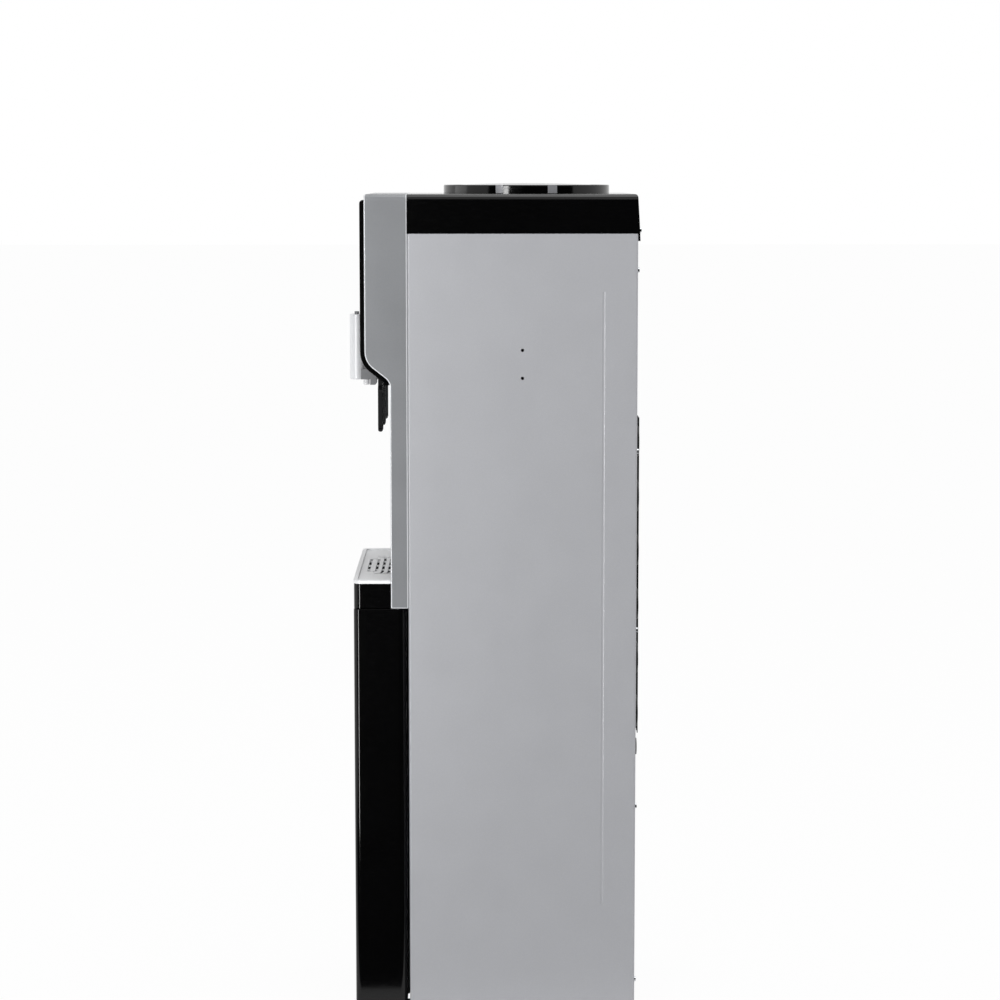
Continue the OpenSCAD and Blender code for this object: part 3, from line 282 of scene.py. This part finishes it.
finishes["niche_black"] = textured_plastic("textured_black_abs", "#0b0b0c", "#111113",
                                           roughness=0.5)
finishes["bracket_grey"] = textured_plastic("textured_grey_acetal", "#77787b", "#838487",
                                            roughness=0.42)
finishes["ivory_plastic"] = textured_plastic("textured_ivory_nylon", "#cfcabb", "#dad6c9",
                                             roughness=0.5)
finishes["probe_blue"] = textured_plastic("textured_blue_grey_polypropylene", "#5f7186", "#6c7f95",
                                          roughness=0.4)
finishes["rubber"] = textured_plastic("moulded_black_rubber", "#121213", "#1b1b1c", roughness=0.72,
                                      pit_size=0.8)
finishes["base_black"] = textured_plastic("black_powder_coat", "#101112", "#191a1b", roughness=0.48,
                                          pit_size=0.9)
finishes["silicone"] = textured_plastic("milky_silicone", "#c9d0d4", "#d8dee1", roughness=0.35,
                                        pit_size=1.2)
print("finishes so far:", len(finishes))

# %% [markdown]
# ## Bare and plated metals
#
# Stainless steel is brushed with a belt, so its scratches are long and all run one way. The
# barrels of the taps and the tray plate are lacquered in a pearl silver that is almost white, with
# little of the mirror left. A stretched noise gives the lines, one axis twenty times longer than
# the others.

# %% Brushed metals
line_pitch = 0.5  # mm between brush lines
line_depth = 0.01 * mm
line_swing = 0.06
line_stretch = {"X": (0.05, 1.0, 1.0), "Y": (1.0, 0.05, 1.0), "Z": (1.0, 1.0, 0.05)}


def brushed_metal(name, dark, light, roughness, along, metallic=1.0):
    material, tree, shader, here = new_finish(name, metallic=metallic, roughness=roughness)
    drawn = add(tree, "ShaderNodeMapping", {"Scale": line_stretch[along]}, {"Vector": here})
    lines = add(tree, "ShaderNodeTexNoise", {"Scale": per_metre / line_pitch, "Detail": 3.0},
                {"Vector": drawn.outputs["Vector"]})
    tones = add(tree, "ShaderNodeMix",
                {"data_type": "RGBA", tone_dark: linear(dark), tone_light: linear(light)},
                {0: lines.outputs["Fac"]})
    shine = add(tree, "ShaderNodeMapRange",
                {"From Min": noise_low, "From Max": noise_high, "To Min": roughness - line_swing,
                 "To Max": roughness + line_swing}, {"Value": lines.outputs["Fac"]})
    bump = add(tree, "ShaderNodeBump", {"Distance": line_depth, "Strength": 0.3},
               {"Height": lines.outputs["Fac"]})
    plug_in(tree, shader, Base_Color=tones.outputs[tone_out], Roughness=shine.outputs["Result"],
            Normal=bump.outputs["Normal"])
    return material


finishes["tray_silver"] = brushed_metal("satin_silver_tray", "#f0f1f3", "#f8f9fa", roughness=0.4,
                                        along="X", metallic=0.05)
finishes["tap_silver"] = brushed_metal("pearl_silver_lacquer", "#e9eaed", "#f3f4f6", roughness=0.36,
                                       along="Z", metallic=0.04)
finishes["stainless"] = brushed_metal("brushed_stainless", "#b4b6b9", "#cbcdd0", roughness=0.34,
                                      along="Z")
finishes["steel"] = brushed_metal("nickel_plated_steel", "#c2c4c7", "#d5d7d9", roughness=0.25,
                                  along="X")
finishes["copper"] = brushed_metal("drawn_copper", "#b5673c", "#cc7d4f", roughness=0.32, along="Z")
print("finishes so far:", len(finishes))

# %% [markdown]
# ## Galvanised sheet
#
# The rear panel and the inner decks are galvanised steel. The zinc sets in flat crystals, called
# spangle, about eleven millimetres wide. Each cell of a Voronoi pattern is one crystal with its
# own shade and its own gloss.

# %% Zinc spangle
crystal_size = 11.0  # mm
material, tree, shader, here = new_finish("galvanised_sheet", metallic=0.85, roughness=0.5)
crystals = add(tree, "ShaderNodeTexVoronoi", {"Scale": per_metre / crystal_size}, {"Vector": here})
shade = add(tree, "ShaderNodeSeparateColor", None,
            {"Color": crystals.outputs["Color"]}).outputs["Red"]
tones = add(tree, "ShaderNodeMix",
            {"data_type": "RGBA", tone_dark: linear("#9b9da0"), tone_light: linear("#b6b8bb")},
            {0: shade})
gloss = add(tree, "ShaderNodeMapRange", {"To Min": 0.42, "To Max": 0.6}, {"Value": shade})
plug_in(tree, shader, Base_Color=tones.outputs[tone_out], Roughness=gloss.outputs["Result"])
finishes["zinc"] = material

# %% [markdown]
# ## Foam, circuit board and lenses
#
# The cold tank sits in expanded polystyrene, whose beads of about four millimetres show as a honey
# comb. The board has a green lacquer over faint copper tracks. The lenses of the indicator lamps
# are frosted polycarbonate.

# %% Bead foam
bead_size = 4.0  # mm
bead_depth = 0.3 * mm
material, tree, shader, here = new_finish("expanded_polystyrene", metallic=0.0, roughness=0.8)
beads = add(tree, "ShaderNodeTexVoronoi", {"Scale": per_metre / bead_size}, {"Vector": here})
crown = add(tree, "ShaderNodeMapRange",
            {"From Min": 0.2, "From Max": 0.7, "To Min": 1.0, "To Max": 0.0},
            {"Value": beads.outputs["Distance"]})
tones = add(tree, "ShaderNodeMix",
            {"data_type": "RGBA", tone_dark: linear("#cfc9b8"), tone_light: linear("#e6e1d3")},
            {0: crown.outputs["Result"]})
bump = add(tree, "ShaderNodeBump", {"Distance": bead_depth, "Strength": 0.6},
           {"Height": crown.outputs["Result"]})
plug_in(tree, shader, Base_Color=tones.outputs[tone_out], Normal=bump.outputs["Normal"])
finishes["foam"] = material
print("bead size:", bead_size, "mm")

# %% Circuit board and lenses
track_size = 6.0  # mm
track_depth = 0.05 * mm
material, tree, shader, here = new_finish("green_circuit_board", metallic=0.0, roughness=0.3)
tracks = add(tree, "ShaderNodeTexBrick", {"Scale": per_metre / track_size}, {"Vector": here})
tones = add(tree, "ShaderNodeMix",
            {"data_type": "RGBA", tone_dark: linear("#14502b"), tone_light: linear("#1f6b3a")},
            {0: tracks.outputs["Fac"]})
bump = add(tree, "ShaderNodeBump", {"Distance": track_depth, "Strength": 0.4},
           {"Height": tracks.outputs["Fac"]})
plug_in(tree, shader, Base_Color=tones.outputs[tone_out], Normal=bump.outputs["Normal"])
finishes["board_green"] = material

frost_size = 0.5  # mm
frost_depth = 0.02 * mm
material, tree, shader, here = new_finish("frosted_polycarbonate", metallic=0.0, roughness=0.25,
                                          IOR=1.58)
frost = add(tree, "ShaderNodeTexNoise", {"Scale": per_metre / frost_size}, {"Vector": here})
tones = add(tree, "ShaderNodeMix",
            {"data_type": "RGBA", tone_dark: linear("#8d98a6"), tone_light: linear("#a7b1bd")},
            {0: frost.outputs["Fac"]})
bump = add(tree, "ShaderNodeBump", {"Distance": frost_depth, "Strength": 0.3},
           {"Height": frost.outputs["Fac"]})
plug_in(tree, shader, Base_Color=tones.outputs[tone_out], Normal=bump.outputs["Normal"])
finishes["lens"] = material
print("finishes:", len(finishes))

# %% [markdown]
# ## Every part gets its finish
#
# The record says which material slot each part has, and the finishes are filed under the same
# names.

# %% Give the finishes out
for name, thing in nodes.items():
    thing.data.materials.clear()
    thing.data.materials.append(finishes[slot_of_node[name]])
print("parts with a finish:", len(nodes))

# %% [markdown]
# ## Softened edges
#
# No tool makes a perfectly sharp edge, and it is the small radius along an edge that catches the
# light. The loose triangles of a solid can't take a bevel, so each main part is copied, its
# doubles are merged, its flat triangles are joined into whole faces, and a narrow bevel rounds
# every edge that turns by more than thirty degrees. Weighted normals keep the wide faces flat to
# the eye. The copy then stands for the solid. On the front frame the rounded edges get a much
# lighter silver: a painted highlight, the bright line that light draws along them.

# %% Helpers for finished pieces
def keep(thing, name, body):
    """Files a finished piece: named, in the scene and on its body."""
    thing.name = name
    if thing.name not in bpy.context.scene.collection.all_objects:
        bpy.context.collection.objects.link(thing)
    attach(thing, body)


def settled(thing):
    """Turns an object with live modifiers into one with a plain mesh."""
    graph = bpy.context.evaluated_depsgraph_get()
    mesh = bpy.data.meshes.new_from_object(thing.evaluated_get(graph),
                                           preserve_all_data_layers=True, depsgraph=graph)
    thing.modifiers.clear()
    thing.data = mesh


# %% Copy the main parts with rounded edges
merge_distance = 2e-6
flat_angle = math.radians(0.5)
edge_segments = 3
edge_limit = math.radians(30.0)  # edges that turn by less stay as they are
flat_face_weight = 100
# The bevel faces of the front frame get the near-white silver: a painted highlight along its edges.
painted_highlight_finish = {"front_frame": "frame_edge"}
painted_highlight_slot = 1  # the place of that finish in the mesh's list of materials


def soften(node, radius):
    """Puts a copy with rounded edges in the place of a solid and counts its faces."""
    mesh = nodes[node].data.copy()
    work = bmesh.new()
    work.from_mesh(mesh)
    bmesh.ops.remove_doubles(work, verts=work.verts, dist=merge_distance)
    bmesh.ops.dissolve_limit(work, angle_limit=flat_angle, verts=work.verts, edges=work.edges)
    for face in work.faces:
        face.smooth = True
    work.to_mesh(mesh)
    work.free()
    if node in painted_highlight_finish:
        mesh.materials.append(finishes[painted_highlight_finish[node]])
    piece = bpy.data.objects.new(node + "_soft", mesh)
    bpy.context.collection.objects.link(piece)
    bevel = piece.modifiers.new("edge", "BEVEL")
    bevel.width = radius * mm
    bevel.segments = edge_segments
    bevel.limit_method = "ANGLE"
    bevel.angle_limit = edge_limit
    if node in painted_highlight_finish:
        bevel.material = painted_highlight_slot
        bevel.use_clamp_overlap = False  # a few tiny edges would narrow the rounding everywhere
    shading = piece.modifiers.new("shading", "WEIGHTED_NORMAL")
    shading.weight = flat_face_weight
    settled(piece)
    keep(piece, node + "_soft", body_of_node[node])
    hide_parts(node)
    return len(piece.data.polygons)


edge_radius = {"side_panel_left": 0.3, "side_panel_right": 0.3, "top_cover": 0.6, "top_collar": 0.5,
               "top_lid": 0.3, "front_frame": 1.4, "front_panel": 0.8, "tray_housing": 0.6,
               "door_shell": 0.8, "door_liner": 1.2, "bottle_bay": 1.2, "niche_liner": 0.8,
               "drip_basin": 0.8, "base_pan": 0.5, "lock_button": 0.4, "tap_barrel_left": 0.4,
               "tap_barrel_middle": 0.4, "tap_barrel_right": 0.4, "tap_bracket_left": 0.6,
               "tap_bracket_middle": 0.6, "tap_bracket_right": 0.6, "tap_nozzle_left": 0.3,
               "tap_nozzle_middle": 0.3, "tap_nozzle_right": 0.3, "lever_left": 0.7,
               "lever_middle": 0.7, "lever_right": 0.7}
faces = {node: soften(node, radius) for node, radius in edge_radius.items()}
print("softened parts:", len(faces), "faces:", sum(faces.values()))

# %% [markdown]
# ## Rules that grow the repeated things
#
# Ribs, lips, rings and folds repeat, so each kind is one Geometry Nodes tree with named sizes. A
# helper starts such a tree with its inputs. Another ends it with Realize Instances and Set
# Material, runs it on an empty object, turns the result into a plain mesh and points its faces
# outwards.

# %% Helpers for Geometry Nodes
sharp_angle = math.radians(40)


def new_rule(name, **sizes):
    tree = bpy.data.node_groups.new(name, "GeometryNodeTree")
    tree.interface.new_socket("Geometry", in_out="OUTPUT", socket_type="NodeSocketGeometry")
    for size, value in sizes.items():
        kind = "NodeSocketInt" if isinstance(value, int) else "NodeSocketFloat"
        socket = tree.interface.new_socket(size.replace("_", " "), in_out="INPUT", socket_type=kind)
        socket.default_value = value
    return tree, add(tree, "NodeGroupInput").outputs


def end_rule(tree, shape, finish):
    plain = add(tree, "GeometryNodeRealizeInstances", None, {"Geometry": shape})
    painted = add(tree, "GeometryNodeSetMaterial", {"Material": finishes[finish]},
                  {"Geometry": plain.outputs["Geometry"]})
    add(tree, "NodeGroupOutput", None, {"Geometry": painted.outputs["Geometry"]})


def grow(tree, name, body, slot, move, **sizes):
    piece = bpy.data.objects.new(name, bpy.data.meshes.new(name))
    bpy.context.collection.objects.link(piece)
    rule = piece.modifiers.new("rule", "NODES")
    rule.node_group = tree
    for item in tree.interface.items_tree:
        if item.name.replace(" ", "_") in sizes:
            rule[item.identifier] = sizes[item.name.replace(" ", "_")]
    settled(piece)
    work = bmesh.new()
    work.from_mesh(piece.data)
    bmesh.ops.translate(work, verts=work.verts, vec=move)
    bmesh.ops.remove_doubles(work, verts=work.verts, dist=merge_distance)
    bmesh.ops.recalc_face_normals(work, faces=work.faces)
    for face in work.faces:
        face.smooth = True
    work.to_mesh(piece.data)
    work.free()
    piece.data.set_sharp_from_angle(angle=sharp_angle)
    keep(piece, name, body)


print("rule helpers ready")

# %% [markdown]
# ## Lips over the rear slots
#
# The press that cuts the ventilation slots also rolls a small lip over each one, which keeps drips
# out and stiffens the sheet. Two blocks of slots, four columns by six rows, carry the same lip, so
# a line of points is copied along a second line and a short bar goes on each point.

# %% Grow the slot lips
slot_length = 44 * mm
column_pitch = 62 * mm
row_pitch = 14 * mm
lip_radius = 1.3 * mm
slot_columns = 4
slot_rows = 6

tree, given = new_rule("pressed_lips", Columns=slot_columns, Rows=slot_rows,
                       Column_pitch=column_pitch, Row_pitch=row_pitch, Length=slot_length,
                       Radius=lip_radius)
across = add(tree, "ShaderNodeCombineXYZ", None, {"X": given["Column pitch"]})
upward = add(tree, "ShaderNodeCombineXYZ", None, {"Z": given["Row pitch"]})
row = add(tree, "GeometryNodeMeshLine", None,
          {"Count": given["Columns"], "Offset": across.outputs["Vector"]})
column = add(tree, "GeometryNodeMeshLine", None,
             {"Count": given["Rows"], "Offset": upward.outputs["Vector"]})
rows = add(tree, "GeometryNodeInstanceOnPoints", None,
           {"Points": column.outputs["Mesh"], "Instance": row.outputs["Mesh"]})
points = add(tree, "GeometryNodeRealizeInstances", None, {"Geometry": rows.outputs["Instances"]})
bar = add(tree, "GeometryNodeMeshCylinder", {"Vertices": 12},
          {"Radius": given["Radius"], "Depth": given["Length"]})
lying = add(tree, "GeometryNodeTransform", {"Rotation": (0.0, quarter_turn, 0.0)},
            {"Geometry": bar.outputs["Mesh"]})
lips = add(tree, "GeometryNodeInstanceOnPoints", None,
           {"Points": points.outputs["Geometry"], "Instance": lying.outputs["Geometry"]})
end_rule(tree, lips.outputs["Instances"], "zinc")

panel_low, panel_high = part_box("back_panel")
lip_rise = 2.6 * mm
low_block = panel_low[2] + 40 * mm
high_block = 876 * mm
lips_left = -(slot_columns - 1) / 2 * column_pitch
for name, height in (("slot_lips_low", low_block), ("slot_lips_high", high_block)):
    grow(tree, name, body_of_node["back_panel"], "zinc",
         (lips_left, panel_high[1], height + lip_rise))
print("lips:", 2 * slot_columns * slot_rows)

# %% [markdown]
# ## Ribs round the feet
#
# A levelling foot is turned by hand, so its rim is ribbed for grip. A circle of points carries one
# small upright bar on each, and the whole ring is repeated for the four feet.

# %% Grow the foot ribs
foot_low, foot_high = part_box("levelling_feet")
foot_radius = 16 * mm
rib_count = 28
rib_radius = 0.7 * mm
rib_height = 3.4 * mm
tree, given = new_rule("foot_ribs", Count=rib_count, Foot_radius=foot_radius, Rib_radius=rib_radius,
                       Height=rib_height)
ring = add(tree, "GeometryNodeMeshCircle", None,
           {"Vertices": given["Count"], "Radius": given["Foot radius"]})
rib = add(tree, "GeometryNodeMeshCylinder", {"Vertices": 8},
          {"Radius": given["Rib radius"], "Depth": given["Height"]})
ribs = add(tree, "GeometryNodeInstanceOnPoints", None,
           {"Points": ring.outputs["Mesh"], "Instance": rib.outputs["Mesh"]})
end_rule(tree, ribs.outputs["Instances"], "rubber")
rib_middle = 3.3 * mm
for side_name, x in (("left", foot_low[0] + foot_radius), ("right", foot_high[0] - foot_radius)):
    for end_name, y in (("front", foot_low[1] + foot_radius), ("rear", foot_high[1] - foot_radius)):
        grow(tree, "foot_ribs_" + side_name + "_" + end_name, body_of_node["levelling_feet"],
             "rubber", (x, y, rib_middle))
print("ribs on a foot:", rib_count)

# %% [markdown]
# ## Folds of the door gasket
#
# The gasket is extruded with two soft folds that flatten against the cabinet. Each fold follows
# the door's rectangle, so a thin round profile is swept along a rectangle with the sizes of the
# solid.

# %% Grow the gasket folds
gasket_low, gasket_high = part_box("door_gasket")
fold_radius = 0.45 * mm
outer_inset = 1.4 * mm
inner_inset = 3.4 * mm
gasket_width = gasket_high[0] - gasket_low[0]
gasket_height = gasket_high[2] - gasket_low[2]
tree, given = new_rule("gasket_fold", Width=1.0, Height=1.0, Radius=fold_radius)
path = add(tree, "GeometryNodeCurvePrimitiveQuadrilateral", None,
           {"Width": given["Width"], "Height": given["Height"]})
upright = add(tree, "GeometryNodeTransform", {"Rotation": (quarter_turn, 0.0, 0.0)},
              {"Geometry": path.outputs["Curve"]})
profile = add(tree, "GeometryNodeCurvePrimitiveCircle", {"Resolution": 10},
              {"Radius": given["Radius"]})
fold = add(tree, "GeometryNodeCurveToMesh", None,
           {"Curve": upright.outputs["Geometry"], "Profile Curve": profile.outputs["Curve"]})
end_rule(tree, fold.outputs["Mesh"], "rubber")
gasket_middle = ((gasket_low[0] + gasket_high[0]) / 2, gasket_high[1],
                 (gasket_low[2] + gasket_high[2]) / 2)
for name, inset in (("gasket_fold_outer", outer_inset), ("gasket_fold_inner", inner_inset)):
    grow(tree, name, body_of_node["door_gasket"], "rubber", gasket_middle,
         Width=gasket_width - 2 * inset, Height=gasket_height - 2 * inset)
print("gasket:", round(gasket_width, 3), "by", round(gasket_height, 3))

# %% [markdown]
# ## Bezels round the indicator lamps
#
# Three small lamps sit in the black front panel, each in a thin bright ring. One circle is swept
# with a smaller circle and repeated along a line of three points.

# %% Grow the bezels
lens_low, lens_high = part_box("indicator_lenses")
lens_radius = (lens_high[2] - lens_low[2]) / 2
lens_pitch = (lens_high[0] - lens_low[0]) / 2 - lens_radius
bezel_wire = 0.35 * mm
lamp_count = 3
tree, given = new_rule("lamp_bezels", Count=lamp_count, Pitch=lens_pitch,
                       Radius=lens_radius + bezel_wire, Wire=bezel_wire)
across = add(tree, "ShaderNodeCombineXYZ", None, {"X": given["Pitch"]})
line = add(tree, "GeometryNodeMeshLine", None,
           {"Count": given["Count"], "Offset": across.outputs["Vector"]})
path = add(tree, "GeometryNodeCurvePrimitiveCircle", {"Resolution": 32},
           {"Radius": given["Radius"]})
upright = add(tree, "GeometryNodeTransform", {"Rotation": (quarter_turn, 0.0, 0.0)},
              {"Geometry": path.outputs["Curve"]})
profile = add(tree, "GeometryNodeCurvePrimitiveCircle", {"Resolution": 8},
              {"Radius": given["Wire"]})
bezel = add(tree, "GeometryNodeCurveToMesh", None,
            {"Curve": upright.outputs["Geometry"], "Profile Curve": profile.outputs["Curve"]})
bezels = add(tree, "GeometryNodeInstanceOnPoints", None,
             {"Points": line.outputs["Mesh"], "Instance": bezel.outputs["Mesh"]})
end_rule(tree, bezels.outputs["Instances"], "steel")
panel_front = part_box("front_panel")[0][1]
grow(tree, "lamp_bezels", body_of_node["indicator_lenses"], "steel",
     (lens_low[0] + lens_radius, panel_front, (lens_low[2] + lens_high[2]) / 2))
print("lamp pitch:", round(lens_pitch, 4))

# %% [markdown]
# ## The room
#
# The studio is a plain pale floor under an even white sky. The floor and the sky are seen as
# white, also by shiny surfaces, while the lamps stay at a plain level so that a colour renders
# about as it is written.

# %% Floor
def white_to_the_eye(tree):
    """One for rays that look at the surface, mirror it or pass through glass, else zero."""
    rays = add(tree, "ShaderNodeLightPath")
    seen = add(tree, "ShaderNodeMath", {"operation": "MAXIMUM"},
               {0: rays.outputs["Is Camera Ray"], 1: rays.outputs["Is Glossy Ray"]})
    return add(tree, "ShaderNodeMath", {"operation": "MAXIMUM"}, {0: seen.outputs["Value"],
               1: rays.outputs["Is Transmission Ray"]}).outputs["Value"]


half_floor = 40.0
white_share = 0.96  # the rest is lit, so the floor keeps the shadow
floor_colour = "#f4f4f4"
floor_mesh = bpy.data.meshes.new("studio_floor")
floor_mesh.from_pydata([(-half_floor, -half_floor, 0), (half_floor, -half_floor, 0),
                        (half_floor, half_floor, 0), (-half_floor, half_floor, 0)], [],
                       [(0, 1, 2, 3)])
floor = bpy.data.objects.new("studio_floor", floor_mesh)
bpy.context.collection.objects.link(floor)
floor_paint, tree, shader, here = new_finish("pale_floor", metallic=0.0, roughness=0.9)
shader.inputs["Base Color"].default_value = linear(floor_colour)
glow = add(tree, "ShaderNodeEmission", {"Color": (1, 1, 1, 1), "Strength": 1.0})
share = add(tree, "ShaderNodeMath", {"operation": "MULTIPLY", 1: white_share},
            {0: white_to_the_eye(tree)})
mixed = add(tree, "ShaderNodeMixShader", None,
            {0: share.outputs["Value"], 1: shader.outputs["BSDF"], 2: glow.outputs["Emission"]})
tree.links.new(mixed.outputs[0], tree.nodes["Material Output"].inputs["Surface"])
floor_mesh.materials.append(floor_paint)
print("floor:", 2 * half_floor, "m wide")

# %% Sky
sky_strength = 0.55
world = bpy.data.worlds.new("white_studio")
bpy.context.scene.world = world
world.use_nodes = True
tree = world.node_tree
sky_light = tree.nodes["Background"]
sky_light.inputs["Color"].default_value = (1, 1, 1, 1)
sky_light.inputs["Strength"].default_value = sky_strength
sky_seen = add(tree, "ShaderNodeBackground", {"Color": (1, 1, 1, 1), "Strength": 1.0})
sky_mix = add(tree, "ShaderNodeMixShader", None,
              {0: white_to_the_eye(tree), 1: sky_light.outputs["Background"],
               2: sky_seen.outputs["Background"]})
tree.links.new(sky_mix.outputs[0], tree.nodes["World Output"].inputs["Surface"])
print("sky:", sky_strength)

# %% [markdown]
# ## Lamps and a flag
#
# A tall strip lamp stands near the camera, on the side of the taps, and three boxes fill in from
# the side, the front and above. A narrow lamp close to the machine is there for shiny surfaces
# only: it draws the bright line down the rounded corner of the tray and the door. Black plastic
# only looks black beside white paper when it mirrors something dark, so a photographer hangs a
# black flag where the flat sides mirror it. This flag takes no light away, and no picture shows
# it.

# %% Lamps
def soft_box(name, stands_at, aim, watts, size):
    data = bpy.data.lights.new(name, "AREA")
    data.energy = watts
    data.shape = "RECTANGLE"
    data.size, data.size_y = size
    lamp = bpy.data.objects.new(name, data)
    bpy.context.collection.objects.link(lamp)
    lamp.location = stands_at
    lamp.rotation_euler = (Vector(aim) - Vector(stands_at)).to_track_quat("-Z", "Y").to_euler()
    return lamp


machine_middle = (0, 0, 0.7)
door_corner = (0.15, -0.15, 0.85)
soft_box("edge_strip", stands_at=(3.1, -0.9, 1.3), aim=machine_middle, watts=26.0, size=(0.5, 2.4))
soft_box("side_box", stands_at=(3.2, 1.4, 2.2), aim=machine_middle, watts=14.0, size=(2.2, 2.2))
soft_box("front_box", stands_at=(-0.8, -3.2, 1.6), aim=machine_middle, watts=10.0, size=(1.6, 1.6))
line_lamp = soft_box("line_lamp", stands_at=(0.95, -0.45, 0.85), aim=door_corner, watts=12.0,
                     size=(0.1, 1.6))
line_lamp.visible_diffuse = False
line_lamp.visible_camera = False
soft_box("top_box", stands_at=(0.2, 0.4, 3.4), aim=machine_middle, watts=25.0, size=(1.8, 1.8))
bpy.context.scene.view_settings.view_transform = "Standard"
print("lamps ready")

# %% Flag
flag_x = 1.0
flag_y = (-1.3, 2.2)
flag_top = 1.5
flag_mesh = bpy.data.meshes.new("black_flag")
hem_x = 0.3
hem_height = 0.004
flag_profile = [(hem_x, hem_height), (flag_x, hem_height), (flag_x, flag_top)]  # x and z
flag_mesh.from_pydata([(x, y, z) for x, z in flag_profile for y in flag_y], [],
                      [(0, 1, 3, 2), (2, 3, 5, 4)])
flag = bpy.data.objects.new("black_flag", flag_mesh)
bpy.context.collection.objects.link(flag)
flag_cloth, tree, shader, here = new_finish("black_velvet", metallic=0.0, roughness=1.0,
                                            Specular_IOR_Level=0.0)
shader.inputs["Base Color"].default_value = linear("#050505")
flag_mesh.materials.append(flag_cloth)
flag.visible_camera = False
flag.visible_diffuse = False
flag.visible_shadow = False
flag.visible_transmission = False
print("flag:", flag_top, "m high, with a hem that lies on the floor")
